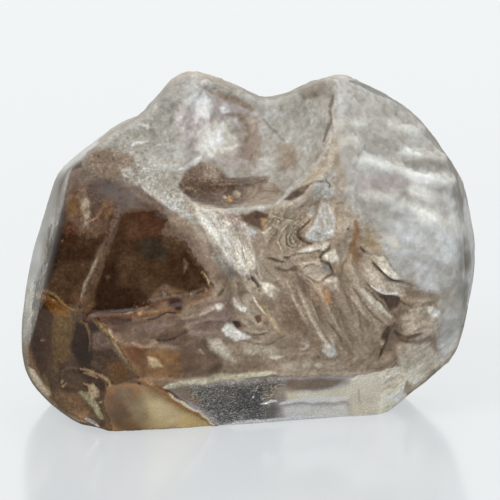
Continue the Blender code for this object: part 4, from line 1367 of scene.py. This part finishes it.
lay_all((
    (stroke, at(55, 26, 50, 22, 45, 16, 45, 11, 50, 7, 57, 4), 0.065, UMBER, 0.95, -0.05),
    (patch, at(50, 11, 54, 18, 59, 25, 62, 35, 65, 42, 72, 41, 76, 32, 77, 19, 73, 11, 64, 7,
        55, 8), 0.06, SILVER, 0.95, 0.04),
    (patch, at(62, 35, 69, 39, 73, 30, 71, 19, 64, 21), 0.10, MIST, 0.6),
    (patch, at(54, 37, 58, 39, 59, 33, 56, 27, 52, 30), 0.05, MIST, 0.8),
    (patch, at(51, 1, 57, 4, 65, 7, 72, 6, 68, 0, 57, -3, 42, -4), 0.05, SHELL, 0.95, 0.03),
    (stroke, at(30, -6, 42, -4, 55, -3, 64, -1), 0.045, DARK_MAUVE, 0.95, -0.04),
    (patch, at(62, -6, 65, -2, 72, 3, 72, 0, 67, -4, 64, -9), 0.03, CHARCOAL, 0.95, -0.05),
    (patch, at(66, -6, 71, -2, 77, 0, 79, -9, 74, -12, 69, -10), 0.05, IVORY, 0.95, 0.03),
    (stroke, at(63, -6, 65, -11, 71, -13, 74, -18, 76, -23), 0.065, DEEP_BROWN, 0.95, -0.06),
    (patch, at(64, -12, 70, -15, 73, -21, 65, -20), 0.05, IRON_GREY, 0.85),
    (patch, at(45, -11, 62, -10, 65, -17, 71, -21, 64, -27, 56, -26, 49, -20), 0.08, BEIGE, 0.85, 0.01),
    (stroke, at(50, -22, 56, -27, 63, -29, 66, -26, 75, -23), 0.045, BROWN, 0.95, -0.04),
    (stroke, at(49, -26, 56, -31, 65, -34), 0.04, FAWN, 0.85, -0.03),
    (stroke, at(48, -16, 53, -14, 60, -13), 0.03, SMOKE, 0.8, -0.02),
    (patch, at(67, -27, 78, -23, 81, -30, 76, -35, 69, -34), 0.06, IVORY, 0.85, 0.02),
    (stroke, at(18, -6, 25, -9, 32, -10), 0.08, DEEP_BROWN, 0.9, -0.03),
    (stroke, at(31, -6, 37, -6), 0.06, UMBER, 0.9, -0.03),
    (stroke, at(23, -15, 32, -18, 42, -17), 0.06, DARK_MAUVE, 0.85, -0.03),
    (patch, at(36, -15, 43, -13, 44, -19, 39, -19), 0.05, ROSEWOOD, 0.9),
    (stroke, at(42, -19, 47, -27, 53, -35, 62, -44), 0.085, MAUVE, 0.9, -0.04),
    (patch, at(78, 48, 90, 39, 101, 27, 97, 0, 90, -16, 80, -11, 80, 16), 0.14, SAND, 0.85),
    (stroke, at(92, 4, 88, -7, 83, -16, 82, -23), 0.05, TAN, 0.8, -0.03),
    (stroke, at(95, 25, 95, 12, 94, 0, 97, -12), 0.20, ORANGE, 0.8),
    (spot, at(96, 18), 0.09, RUST, 0.8),
    (spot, at(94, 4), 0.07, RUST, 0.7),
    (spot, at(99, -5), 0.07, RUST, 0.7),
    (stroke, at(82, -27, 87, -23, 92, -19), 0.06, OLD_GOLD, 0.7),
    (patch, at(101, 23, 115, 21, 122, 9, 116, -1, 103, 2), 0.16, OLIVE, 0.9),
    (stroke, at(100, 4, 103, -2, 108, -4, 112, -4), 0.055, DARK_SMOKE, 0.95, -0.04),
    (spot, at(88, 19), 0.055, DARK_SMOKE, 0.9, -0.02),
    (spot, at(80, 4), 0.06, SMOKE, 0.9, -0.02),
    (patch, at(110, 18, 122, 16, 131, -2, 120, -7, 113, 4), 0.10, FAWN, 0.7),
))

# %% Slits and flakes below the fan
lay_all((
    (patch, at(-16, -27, 2, -23, 12, -34, 18, -44, 2, -44, -11, -37), 0.10, SAND, 0.8),
    (stroke, at(-2, -22, 1, -27), 0.055, DEEP_BROWN, 0.95, -0.04),
    (stroke, at(2, -23, 5, -27, 10, -33), 0.085, DARK_SMOKE, 0.95, -0.05),
    (stroke, at(6, -31, 11, -37), 0.05, ROSEWOOD, 0.95, -0.03),
    (stroke, at(4, -29, 9, -35), 0.035, WHEAT, 0.8, 0.02),
    (stroke, at(5, -21, 11, -29, 18, -37), 0.05, SHELL, 0.8, 0.03),
    (patch, at(11, -29, 21, -30, 29, -36, 25, -43, 18, -41), 0.07, CREAM, 0.95, 0.02),
    (patch, at(-12, -28, -5, -30, 0, -39, -7, -41), 0.06, SMOKE, 0.85, -0.03),
    (stroke, at(-26, -42, -23, -38, -21, -35), 0.08, DEEP_BROWN, 0.9, -0.03),
    (patch, at(5, -11, 12, -5, 21, -16, 32, -23, 23, -30, 11, -23), 0.10, SAND, 0.8),
    (stroke, at(8, -11, 9, -19, 12, -27), 0.04, SHELL, 0.7),
    (stroke, at(14, 1, 14, 0), 0.06, MIST, 0.8, 0.01),
    (stroke, at(12, -11, 18, -19, 25, -27), 0.04, TAUPE, 0.7, -0.02),
))

# %% [markdown]
# ## Striations and blades
# Right of the lens folds the crystal split into long slivers, which run down to the right, and ends in
# blades that stand out of the broken ground, with dark slots between them. The slivers and blades carry
# painted highlights on their lit edges and painted shadows beside and under them.

# %% Striations
lay_all((
    (patch, at(18, -35, 46, -32, 78, -28, 92, -53, 92, -87, 72, -94, 46, -76, 30, -60), 0.16, CLAY, 0.85),
    (patch, at(27, -44, 42, -44, 53, -71, 46, -83, 32, -71), 0.14, TAUPE, 0.8),
    (patch, at(45, -37, 55, -46, 67, -64, 76, -81, 76, -94, 68, -90, 60, -71,
        50, -51), 0.07, SAND, 0.9, 0.01),
))
SLIVERS = (  # a sliver's path, half width and colour
    (at(45, -34, 53, -53, 62, -72, 71, -88), 0.040, BONE),
    (at(35, -28, 44, -48, 53, -67), 0.050, BEIGE),
    (at(62, -32, 71, -50, 81, -72), 0.050, SAND),
    (at(76, -28, 86, -46, 92, -60), 0.056, BEIGE),
    (at(85, -25, 95, -42, 104, -62), 0.050, SAND),
)
for line, half, shine in SLIVERS:
    lay(stroke(line, half) * break_up, shine, 0.7, 0.022)
    # a painted shadow beside each sliver
    lay(stroke(line + (0.20, 0.0), 0.036) * break_up, BROWN, 0.5, -0.02)
lay_all((
    (patch, at(65, -83, 73, -84, 80, -92, 72, -95, 66, -91), 0.07, MIST, 0.9, 0.03),
    (patch, at(65, -36, 72, -35, 74, -46, 69, -48), 0.10, AMBER, 0.7),
    (spot, at(67, -38), 0.06, ORANGE, 0.8),
    (spot, at(72, -43), 0.06, ORANGE, 0.8),
    (spot, at(75, -39), 0.05, ORANGE, 0.7),
    (stroke, at(80, -51, 85, -62, 90, -72), 0.08, BROWN, 0.75, -0.04),
    (stroke, at(69, -62, 76, -71, 83, -81), 0.06, SMOKE, 0.7, -0.02),
    (stroke, at(85, -76, 92, -85, 99, -90), 0.06, BEIGE, 0.7, 0.02),
    (spot, at(82, -86), 0.06, CREAM, 0.8, 0.01),
    (spot, at(95, -80), 0.06, DARK_MAUVE, 0.8, -0.02),
))

# %% Blades
# The blades' ivory, snow and shell edges are painted highlights; the dark strokes under them are painted
# shadows.
lay_all((
    (patch, at(80, -11, 110, -5, 138, -35, 168, -48, 170, -94, 143, -103, 117, -108, 88, -97,
        80, -62), 0.16, CLAY, 0.85),
    (patch, at(85, -12, 101, -11, 108, -30, 120, -50, 113, -60, 95, -46, 87, -30), 0.12, SAND, 0.8),
    (patch, at(101, -2, 111, -2, 122, -19, 133, -28, 143, -34, 138, -42, 126, -39, 111, -34,
        103, -21), 0.06, BEIGE, 0.9, 0.02),
    (patch, at(112, -6, 120, -6, 127, -13, 135, -24, 127, -25, 118, -17), 0.05, IVORY, 0.95, 0.05),
    (stroke, at(110, -11, 116, -17, 122, -22, 128, -26, 135, -27), 0.08, DARK_SMOKE, 0.95, -0.06),
    (stroke, at(135, -27, 140, -31, 145, -35), 0.055, SMOKE, 0.95, -0.05),
    (stroke, at(108, -32, 117, -37, 126, -39, 133, -38), 0.06, SNOW, 0.9, 0.04),
    (stroke, at(103, -30, 111, -37, 120, -42, 133, -42), 0.05, SMOKE, 0.9, -0.05),
    (patch, at(120, -41, 127, -40, 134, -42, 133, -50, 128, -52, 124, -47), 0.07, DARK_MAUVE, 0.95, -0.08),
    (stroke, at(101, -36, 110, -44, 118, -50, 128, -59), 0.11, SHELL, 0.9, 0.04),
    (stroke, at(104, -35, 113, -42, 122, -49), 0.045, BROWN, 0.9, -0.04),
    (stroke, at(94, -35, 103, -46, 111, -57, 120, -64), 0.06, BROWN, 0.85, -0.04),
    (stroke, at(90, -41, 99, -51, 108, -62), 0.08, BONE, 0.7, 0.03),
    (patch, at(87, -55, 104, -60, 117, -67, 110, -85, 94, -83, 83, -69), 0.14, CLAY, 0.8),
    (patch, at(127, -63, 126, -72, 124, -81, 118, -79, 122, -69), 0.07, DEEP_BROWN, 0.9, -0.04),
    (stroke, at(119, -88, 117, -94, 115, -97), 0.07, DEEP_BROWN, 0.9, -0.05),
    (spot, at(119, -83), 0.07, WHEAT, 0.85, 0.02),
    (patch, at(136, -58, 147, -50, 164, -51, 171, -62, 168, -74, 150, -81,
        137, -76), 0.12, BEIGE, 0.95, 0.05),
    (stroke, at(136, -67, 141, -63, 147, -67), 0.05, BEIGE, 0.85, 0.03),
    (patch, at(157, -51, 166, -51, 170, -58, 161, -60), 0.08, FROST_WHITE, 0.8, 0.02),
    (stroke, at(145, -72, 156, -68, 164, -68), 0.05, FAWN, 0.7, -0.02),
    # painted shadow under the knob, in this stroke and the next
    (stroke, at(132, -74, 138, -78, 145, -76, 154, -73), 0.12, UMBER, 0.7, -0.03),
    (stroke, at(132, -71, 134, -80, 143, -83), 0.07, DARK_MAUVE, 0.8, -0.03),
    (patch, at(138, -28, 152, -35, 171, -44, 166, -51, 147, -48, 136, -39), 0.10, SAND, 0.8, -0.02),
    (patch, at(80, -83, 99, -80, 117, -90, 115, -106, 92, -108, 78, -99), 0.18, CLAY, 0.85),
    (patch, at(131, -85, 161, -83, 171, -99, 147, -118, 136, -110), 0.14, IVORY, 0.85),
    (spot, at(164, -86), 0.09, PALE_GOLD, 0.8),
    (patch, at(92, -115, 97, -110, 111, -109, 124, -106, 136, -103, 141, -113, 133, -133, 118, -131,
        99, -127), 0.05, CREAM, 0.95, 0.02),
    (stroke, at(92, -116, 97, -110, 111, -109, 124, -106), 0.045, CREAM, 0.9, 0.03),
    (stroke, at(131, -103, 127, -111, 120, -115), 0.05, SNOW, 0.8, 0.02),
    (stroke, at(129, -64, 124, -78, 118, -92), 0.07, DEEP_BROWN, 0.8, -0.01),
    (patch, at(117, -127, 136, -118, 140, -131, 129, -147, 115, -147), 0.10, BUTTER, 0.9),
    (stroke, at(97, -122, 98, -129, 100, -136), 0.05, GREY, 0.5),
    (patch, at(168, -42, 191, -34, 193, -58, 186, -80, 177, -94, 168, -99, 168, -71), 0.22, SILVER, 0.95),
))

# %% The lower middle
lay_all((
    (patch, at(-62, -78, -34, -76, -21, -94, -27, -111, -58, -113), 0.2, SMOKE, 0.9),
    (spot, at(-28, -103), 0.22, UMBER, 0.7),
    (patch, at(-55, -58, -30, -44, -14, -44, -12, -60, -25, -71, -50, -76), 0.16, MAUVE, 0.85),
    (stroke, at(-57, -61, -42, -57, -30, -52, -19, -48), 0.12, FAWN, 0.7, 0.02),
    (spot, at(-26, -51), 0.13, SHELL, 0.9, 0.02),
    (stroke, at(-44, -58, -35, -55, -28, -52), 0.05, BEIGE, 0.8, 0.02),
    (patch, at(-14, -44, 2, -42, 12, -58, 12, -69, -2, -71, -9, -60), 0.12, SAND, 0.8),
    (patch, at(-37, -78, -25, -80, -14, -92, -14, -97, -25, -94, -32, -88), 0.12, BONE, 0.9, 0.02),
    (stroke, at(-30, -81, -24, -88, -18, -94), 0.08, SHELL, 0.8, 0.01),
    (patch, at(-5, -80, 12, -80, 30, -87, 27, -94, -4, -92), 0.14, BEIGE, 0.85, 0.02),
    (patch, at(-23, -71, -19, -65, -13, -67, -9, -72, -3, -74, 4, -78, -3, -80, -12, -80,
        -19, -77), 0.06, SNOW, 0.95, 0.015),
    (patch, at(-13, -65, -7, -64, -5, -68, -9, -71), 0.04, DARK_RUST, 0.95, -0.10),
    (patch, at(6, -59, 11, -57, 13, -63, 10, -65), 0.04, RED_RUST, 0.95, -0.08),
    (stroke, at(-2, -70, 4, -72, 11, -73, 19, -72), 0.055, BEIGE, 0.9, 0.03),
    (stroke, at(0, -74, 9, -76, 18, -74), 0.035, SMOKE, 0.8, -0.03),
    (stroke, at(-12, -42, -10, -48, -4, -55), 0.07, SNOW, 0.9, 0.015),
    (spot, at(-4, -52), 0.09, SNOW, 0.8),
    (stroke, at(4, -42, 9, -50, 16, -58), 0.045, CREAM, 0.85, 0.02),
    (stroke, at(8, -44, 13, -51, 16, -55), 0.05, OCHRE, 0.85, -0.02),
    (stroke, at(12, -50, 21, -62, 31, -75), 0.12, OLIVE, 0.75, 0.02),
    (stroke, at(-7, -80, 7, -84, 21, -83, 34, -76), 0.05, DIM_GREY, 0.7, -0.03),
    (patch, at(18, -95, 25, -93, 33, -95, 26, -98), 0.05, IVORY, 0.9, 0.02),
    (patch, at(-7, -94, 12, -95, 19, -106, -14, -108), 0.14, TAUPE, 0.8),
    (patch, at(25, -76, 46, -80, 62, -90, 46, -95, 27, -88), 0.14, CLAY, 0.8),
    (stroke, at(48, -82, 53, -84, 51, -88, 47, -87), 0.05, BONE, 0.8, 0.02),
    (spot, at(57, -83), 0.06, ORANGE, 0.8),
    (spot, at(62, -95), 0.06, COPPER, 0.8),
    (patch, at(28, -99, 55, -97, 78, -97, 90, -104, 69, -110, 32, -108), 0.10, SAND, 0.85),
    (spot, at(62, -102), 0.12, IVORY, 0.7),
    (stroke, at(-43, -88, -38, -92), 0.05, OLIVE, 0.8, 0.02),
    (spot, at(-11, -97), 0.06, BEIGE, 0.7),
))

# %% [markdown]
# ## The frosted lobe
# The right-hand lobe is one large, gently domed fracture, frosted all over by wear. The ribs already
# stand on it. Here each crest gets a painted highlight, and the ground between two crests a painted grey
# shade. Down the right edge, light through the thin rim is painted pale.

# %% Lobe
lay_all((
    (patch, at(80, 154, 134, 134, 175, 92, 196, 21, 196, -41, 152, -35, 133, -23, 113, 16, 92, 39,
        80, 88), 0.3, SILVER, 0.9),
    (patch, at(101, 99, 138, 99, 138, 87, 117, 83, 99, 87), 0.16, ASH, 0.8),
    (patch, at(136, 80, 179, 81, 182, 69, 156, 67, 140, 74), 0.12, ASH, 0.85),
    (patch, at(92, 67, 131, 67, 143, 60, 134, 51, 99, 51), 0.16, LILAC, 0.85),
    (patch, at(161, 57, 184, 57, 186, 34, 166, 37, 145, 55), 0.14, SILVER, 0.85),
    (patch, at(134, 21, 189, 12, 193, -11, 170, -16, 138, 0), 0.2, SILVER, 0.8),
    (patch, at(161, -2, 177, -4, 175, -16, 163, -14), 0.12, LILAC, 0.7),
    (patch, at(145, -12, 170, -14, 179, -30, 161, -37, 149, -30), 0.14, FOG, 0.8),
    (patch, at(120, 12, 131, 14, 136, 4, 129, -2), 0.10, SHELL, 0.8),
    (patch, at(80, 147, 92, 145, 94, 122, 81, 115, 78, 129), 0.14, FOG, 0.8),
    (patch, at(81, 80, 92, 80, 94, 69, 85, 67), 0.10, SILVER, 0.7),
    (patch, at(76, 88, 87, 74, 88, 57, 81, 48, 74, 57), 0.12, FAWN, 0.7),
    (patch, at(90, 48, 120, 48, 134, 34, 129, 21, 110, 23, 94, 34), 0.16, PALE_GREY, 0.8),
    (stroke, at(90, 53, 94, 44, 97, 41), 0.05, BEIGE, 0.7, 0.02),
    (stroke, at(90, 149, 108, 143, 124, 135, 135, 127), 0.11, SLATE, 0.9),
    (stroke, at(135, 129, 152, 115, 166, 99), 0.06, ASH, 0.7),
    (stroke, at(157, 108, 170, 90, 180, 71, 185, 53, 187, 35, 191, 18), 0.10, GREY, 0.85),
    (stroke, at(190, 16, 193, 2, 194, -14), 0.10, CLAY, 0.85),
    # painted light through the thin right rim, in white and blue-white
    (stroke, at(176, 94, 186, 74, 193, 48, 197, 16, 200, -11), 0.13, WHITE, 0.85),
    (patch, at(187, -19, 196, -18, 196, -28, 189, -28), 0.06, WHITE, 0.9),
    (patch, at(179, 34, 188, 35, 196, 12, 198, -4, 191, 0, 182, 14), 0.08, FROST_WHITE, 0.7),
    (stroke, at(191, 41, 196, 16, 199, -7, 197, -32, 194, -50), 0.10, BLUE_WHITE, 0.8),
    (patch, at(170, 4, 189, 2, 193, -18, 193, -44, 170, -42, 166, -16), 0.14, GREY, 0.6),
))
lay_all((
    (patch, at(87, 147, 133, 133, 166, 99, 156, 90, 101, 95, 83, 122), 0.25, GREY, 0.5),
    (patch, at(129, 34, 159, 28, 189, 12, 193, -11, 170, -16, 134, 9), 0.25, FOG, 0.5),
))
# painted highlight on each rib's crest
lay(ribs * break_up, FROST_WHITE, 0.62)

# %% [markdown]
# ## The shoulder and the left rim
# Above the cheek, the shoulder is scuffed grey-beige, with a rough brown scar. Down the whole left side
# the crystal is a thin wedge, and light from behind fills it: a pale, bluish rim, which is painted light.

# %% Shoulder
lay_all((
    (patch, at(-126, 99, -115, 111, -87, 115, -80, 103, -88, 87, -113, 83, -126, 88), 0.16, GREY, 0.9),
    (patch, at(-138, 88, -115, 90, -101, 81, -104, 65, -127, 62, -140, 72), 0.14, TAUPE, 0.85),
    (patch, at(-129, 81, -117, 85, -108, 76, -118, 69), 0.10, DIM_GREY, 0.7),
    (stroke, at(-104, 92, -97, 94, -89, 96), 0.07, FOG, 0.9, 0.02),
    (stroke, at(-96, 110, -89, 108, -81, 108), 0.06, MIST, 0.8, 0.02),
    (patch, at(-113, 71, -104, 72, -99, 67, -104, 62, -111, 65), 0.06, GREY, 0.9, 0.02),
    (stroke, at(-97, 64, -88, 53, -80, 46, -67, 39, -57, 32, -46, 23), 0.18, GREY, 0.8, 0.03),
    (stroke, at(-94, 57, -85, 47, -76, 41), 0.05, BEIGE, 0.7, 0.02),
    (stroke, at(-108, 58, -95, 48, -83, 39, -72, 32), 0.12, BROWN, 0.75),
    (spot, at(-131, 83), 0.06, CHARCOAL, 0.95, -0.02),
    (patch, at(-80, 138, -64, 150, -51, 154, -46, 141, -62, 124, -76, 120), 0.12, ASH, 0.8),
    (patch, at(-80, 134, -67, 136, -62, 126, -74, 120), 0.10, IRON_GREY, 0.8),
    (patch, at(-87, 115, -67, 117, -62, 97, -67, 81, -80, 80, -87, 97), 0.14, ASH, 0.75),
    (stroke, at(-87, 88, -76, 94, -65, 92), 0.06, GREY, 0.7, 0.02),
))

# %% Left rim
# Painted light: the pale left facet and the pale lower edge, where light from behind fills the thin rim.
left_facet = ramp(-face_normals[:, 0], 0.82, 0.94) * ramp(seen_v + 0.5 * clouds, -5.0, -2.8)
lay(left_facet, FOG, 0.8)
lay(left_facet * ramp(clouds + 0.1 * mottle, 0.0, 1.0), SAND, 0.4)
lower_edge = ramp(-(0.8 * face_normals[:, 0] + 0.6 * face_normals[:, 1]), 0.82, 0.96)
lay(lower_edge * (1.0 - left_facet), SAND, 0.7)
lay_all((
    (patch, at(-127, 108, -133, 94, -147, 80, -161, 69, -166, 57, -167, 42, -171, 25, -176, 9, -181, -7,
        -185, -23, -189, -37, -192, -55, -196, -78, -207, -78, -210, -53, -203, -23, -194, 9, -187, 39,
        -179, 64, -168, 80, -149, 94), 0.05, SILVER, 0.95),
    (stroke, at(-133, 98, -147, 88, -161, 78, -173, 62, -182, 40, -188, 16, -194, -7, -200, -32, -203, -53,
        -204, -74), 0.2, FOG, 0.85),
    (stroke, at(-133, 92, -147, 80, -161, 69, -166, 57, -167, 42), 0.05, IRON_GREY, 0.7),
))

# %% [markdown]
# ## Grain over everything
# No mark on a worn stone has a clean outline. Hackle, crumble and soft mottling are laid over all the
# marks, so their edges break up. Each kind of ground has its own amounts: the bevel has only faint
# clouds, and the cheek and the knocked-out middle have the most.

# %% Grain
GREY_SHADE = (1.0, 1.04, 1.1)  # lighter places are greyer
TONE_LIMITS = (0.004, 0.92)  # the darkest and the lightest tone that a skin can have
shade(hackled * texture(fine=0.05, broad=0.06, soft=0.04), BROWN_SHADE)
shade(loose * texture(fine=0.02, broad=0.03, crumbs=0.08, clouded=0.08), BROWN_SHADE)
shade(bowl_ground * texture(fine=0.02, soft=0.03, crumbs=0.04, clouded=0.06), BROWN_SHADE)
shade(lobe_ground * texture(fine=0.015, broad=0.03, soft=0.05, crumbs=0.03, clouded=0.04), BROWN_SHADE)
shade(cheek_ground * texture(soft=0.04, crumbs=0.25 - 0.10 * see_through, clouded=0.14), BROWN_SHADE)
shade(cheek_ground * see_through, (0.0, -0.08, -0.24))  # smoke is deepest where the crystal is clear
shade(lower_ground, (0.02, -0.04, -0.18))
shade(lower_ground * texture(crumbs=0.09 - 0.06 * foot_ground, clouded=0.08), BROWN_SHADE)
shade(bevel_ground * texture(crumbs=0.02, clouded=0.08))
shade((1.0 - on_front) * texture(crumbs=0.06, clouded=0.12), BROWN_SHADE)

# %% Broad light and shade over the finished ground
MUCH_DARKER, DARKER, LIGHTER, MUCH_LIGHTER = -0.38, -0.24, 0.25, 0.45
BROAD_FEATHER = 0.3  # millimetres
BROAD_SHADES = (  # an amount, and the areas that it shades
    (MUCH_DARKER, (
        at(76, 120, 88, 122, 95, 106, 99, 85, 90, 74, 78, 80),
        at(-170, 64, -161, 67, -157, 53, -157, 34, -173, -11, -180, -7, -173, 34),
        at(-83, 67, -64, 69, -57, 57, -32, 44, -28, 35, -46, 34, -64, 44, -80, 48),
        at(-127, 67, -115, 67, -103, 53, -85, 44, -64, 25, -50, 12, -53, 9, -74, 21, -104, 34, -127, 37),
        at(127, -81, 141, -81, 141, -94, 127, -94),
        at(-95, -103, -81, -103, -81, -115, -95, -115),
        at(-127, -122, -113, -122, -111, -134, -126, -136),
        at(170, -35, 186, -35, 184, -51, 170, -53),
        at(-67, -50, -53, -44, -41, -37, -37, -48, -51, -60, -64, -60),
        at(-187, -35, -175, -35, -175, -62, -187, -64),
        at(-136, -50, -113, -51, -113, -60, -136, -60),
        at(-179, 4, -166, 4, -168, -9, -179, -9),
    )),
    (DARKER, (
        at(161, 88, 171, 88, 170, 78, 156, 78),
        at(-51, 152, -41, 152, -37, 141, -51, 140),
        at(-9, 90, 4, 88, 5, 39, -7, 34, -12, 46),
        at(-127, 58, -110, 57, -101, 44, -113, 41, -127, 44),
        at(150, 88, 161, 88, 163, 78, 150, 78),
        at(117, 133, 131, 129, 133, 118, 118, 120),
        at(21, 69, 35, 67, 57, 58, 55, 44, 42, 46, 23, 55),
        at(76, 58, 88, 58, 88, 44, 76, 44),
        at(138, -69, 152, -71, 150, -83, 138, -83),
        at(32, -124, 46, -124, 46, -134, 32, -134),
        at(64, 141, 78, 141, 78, 131, 65, 131),
        at(-170, 69, -157, 69, -157, 37, -170, 35),
        at(-127, 57, -113, 57, -113, 46, -127, 46),
        at(-21, 110, -7, 108, -7, 78, -19, 78),
        at(138, -18, 152, -19, 152, -50, 138, -50),
        at(-106, -60, -92, -60, -92, -71, -106, -71),
        at(44, -50, 55, -50, 55, -60, 44, -60),
        at(-80, 37, -69, 35, -53, 16, -37, -5, -32, -23, -39, -25, -53, -2, -69, 16),
        at(97, -7, 110, -7, 108, -18, 97, -18),
        at(-65, 78, -50, 78, -51, 65, -64, 65),
        at(12, -113, 25, -113, 25, -124, 12, -124),
        at(-9, 131, 4, 131, 4, 120, -9, 120),
        at(-180, 14, -166, 14, -168, -7, -180, -9),
        at(-126, 57, -113, 57, -104, 41, -120, 44),
    )),
    (LIGHTER, (
        at(-53, 122, -32, 122, -32, 106, -46, 97, -53, 99),
        at(138, 67, 161, 69, 166, 25, 150, 23),
        at(129, -134, 141, -133, 138, -145, 127, -145),
        at(-32, 143, -18, 143, -19, 129, -32, 129),
        at(64, 48, 78, 48, 78, 34, 64, 34),
        at(21, -101, 37, -101, 37, -115, 21, -115),
        at(-157, -147, -134, -143, -131, -154, -145, -159),
        at(-200, -25, -187, -23, -191, -55, -202, -55),
        at(-189, 5, -179, 5, -182, -11, -191, -12),
        at(-74, -60, -60, -60, -60, -71, -74, -71),
        at(171, -90, 184, -80, 182, -97, 171, -106),
        at(-159, -145, -134, -143, -117, -156, -115, -164, -134, -163),
        at(-72, 35, -62, 37, -60, 25, -71, 23),
        at(-53, 88, -39, 88, -39, 78, -53, 78),
        at(127, -28, 141, -28, 138, -39, 127, -39),
        at(44, 35, 57, 35, 57, 25, 44, 25),
        at(140, 69, 163, 69, 166, 55, 145, 53),
        at(147, 37, 173, 37, 173, 23, 150, 23),
        at(-53, 133, -39, 133, -39, 110, -51, 110),
        at(-51, 25, -41, 25, -28, 14, -41, 12),
        at(55, -71, 67, -71, 67, -83, 55, -83),
        at(161, -69, 173, -71, 171, -83, 161, -81),
        at(23, -124, 37, -124, 37, -134, 23, -134),
        at(53, 133, 65, 133, 67, 118, 55, 117),
    )),
    (MUCH_LIGHTER, (
        at(-154, -145, -136, -141, -126, -147, -113, -159, -127, -168, -147, -159),
        at(166, -88, 187, -71, 189, -85, 175, -104, 164, -104),
        at(138, -111, 154, -110, 152, -122, 140, -129),
        at(-32, -143, -4, -143, -4, -159, -35, -159),
        at(184, 62, 196, 60, 198, 12, 184, 12),
        at(53, -23, 69, -25, 71, -44, 55, -44),
        at(74, -4, 90, -4, 90, -19, 74, -19),
        at(-157, -37, -145, -37, -147, -51, -157, -53),
    )),
)
for amount, areas in BROAD_SHADES:
    for corners in areas:
        shade(amount * patch(corners, BROAD_FEATHER), BROWN_SHADE if amount < 0 else GREY_SHADE)
tones[:] = np.clip(tones, *TONE_LIMITS)
print("broad shades:", sum(len(areas) for _, areas in BROAD_SHADES), "areas")

# %% How much of the finest speckle each ground has
LEAST_GRIT, MOST_GRIT = 0.2, 5.0
grit = 1.0 + 0.4 * hackled - 0.6 * bowl_ground - 0.75 * lobe_ground
grit = np.where(bevel_ground > 0.5, 0.5, np.where(lower_ground > 0.5, 1.2, grit))
grainy_bevel = patch(at(-57, -121, 18, -116, 28, -115, 19, -133, 16, -149, -25, -153, -42, -140), 0.3)
under_bowl = patch(at(-141, 85, -113, 94, -87, 83, -58, 53, -46, 34, -64, 30, -104, 58, -145, 58), 0.3)
grit += 4.2 * grainy_bevel - 1.2 * foot_ground
grit += 0.3 * (1.0 - see_through) * cheek_ground + 2.2 * lens_ground + under_bowl
grit = np.clip(grit - 0.4 * rim_ground, LEAST_GRIT, MOST_GRIT)
print("grit from", round(float(grit.min()), 2), "to", round(float(grit.max()), 2))

# %% [markdown]
# ## Wear, and painted shade in the hollows
# High edges are rubbed pale, and the hollows are darkened with painted shade. How high an edge stands is
# measured on the mesh itself: the skin is smoothed, and a point that the smoothing pulls inwards was an
# edge.

# %% Raised skin, and how far each point stands out of it
write_points(stone_mesh, skin_points + skin_normals * height[:, None])


def standing(rounds):
    """How far each point stands out of the skin around it, in millimetres."""
    flat = smoothed(stone_mesh.copy(), rounds)
    raised, even = read_points(stone_mesh), read_points(flat)
    bpy.data.meshes.remove(flat)
    return np.sum((raised - even) * skin_normals, axis=1)


SHARP_EDGE, BROAD_EDGE = 0.010, 0.030  # millimetres by which a worn edge stands out of its near and far skin
edges = np.tanh(0.5 * (standing(8) / SHARP_EDGE + standing(40) / BROAD_EDGE))
ground = np.clip(1.0 - polished - 0.5 * rim_ground, 0.0, 1.0)
shade(ground * np.clip(edges, 0.0, 1.0) * 0.11)
# painted shade in the hollows
shade(ground * np.clip(edges, -1.0, 0.0) * 0.20, BROWN_SHADE)
tones[:] = np.clip(tones, *TONE_LIMITS)
print("edges worn:", int((edges > 0.4).sum()), "points, hollows:", int((edges < -0.4).sum()))

# %% The tones on the skin
frost = np.clip(1.0 - polished, 0.0, 1.0)
frost = np.where(on_front > 0.5, frost, 0.45) * (1.0 - 0.7 * left_facet)
frost *= 0.35 + 0.65 * ramp(tones.mean(axis=1), 0.01, 0.06)  # what shows dark is clear crystal, so it shines
frost = np.maximum(frost, 0.9 * stroke(at(-138, -55, -120, -56,
    -99, -55), 0.16))  # but the stained crack is dull
right_edge = ramp(face_points[:, 0], 8.8, 9.6) * (1.0 - ramp(face_normals[:, 2], 0.1, 0.5))
oldness = np.maximum(1.0 - on_front, 0.7 * right_edge) * (1.0 - 0.85 * left_facet)
tone_layer = stone_mesh.attributes.new("tone", "FLOAT_COLOR", "POINT")
tone_layer.data.foreach_set("color", np.c_[tones, np.ones(len(tones))].astype(np.float32).ravel())
for title, values in (("frost", frost), ("grit", grit), ("behind", oldness)):
    layer = stone_mesh.attributes.new(title, "FLOAT", "POINT")
    layer.data.foreach_set("value", values.astype(np.float32))

stone = new_object("zircon_stone", stone_mesh)
relief_points = read_points(stone_mesh)
relief_points[:, 2] = np.maximum(relief_points[:, 2], 0.0)  # the foot stays flat on the floor
write_points(stone_mesh, relief_points / 1000)
for polygon in stone_mesh.polygons:
    polygon.use_smooth = True

# %% Which faces are clear
stone_mesh.materials.clear()
stone_mesh.materials.append(clear_crystal)
stone_mesh.materials.append(frosted_crystal)
face_corners = np.empty(len(stone_mesh.polygons) * 3, np.int32)
stone_mesh.polygons.foreach_get("vertices", face_corners)
face_clear = see_through[face_corners.reshape(-1, 3)].mean(axis=1)
stone_mesh.polygons.foreach_set("material_index", (face_clear < 0.5).astype(np.int32))
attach(stone, "root")
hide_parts("zircon")
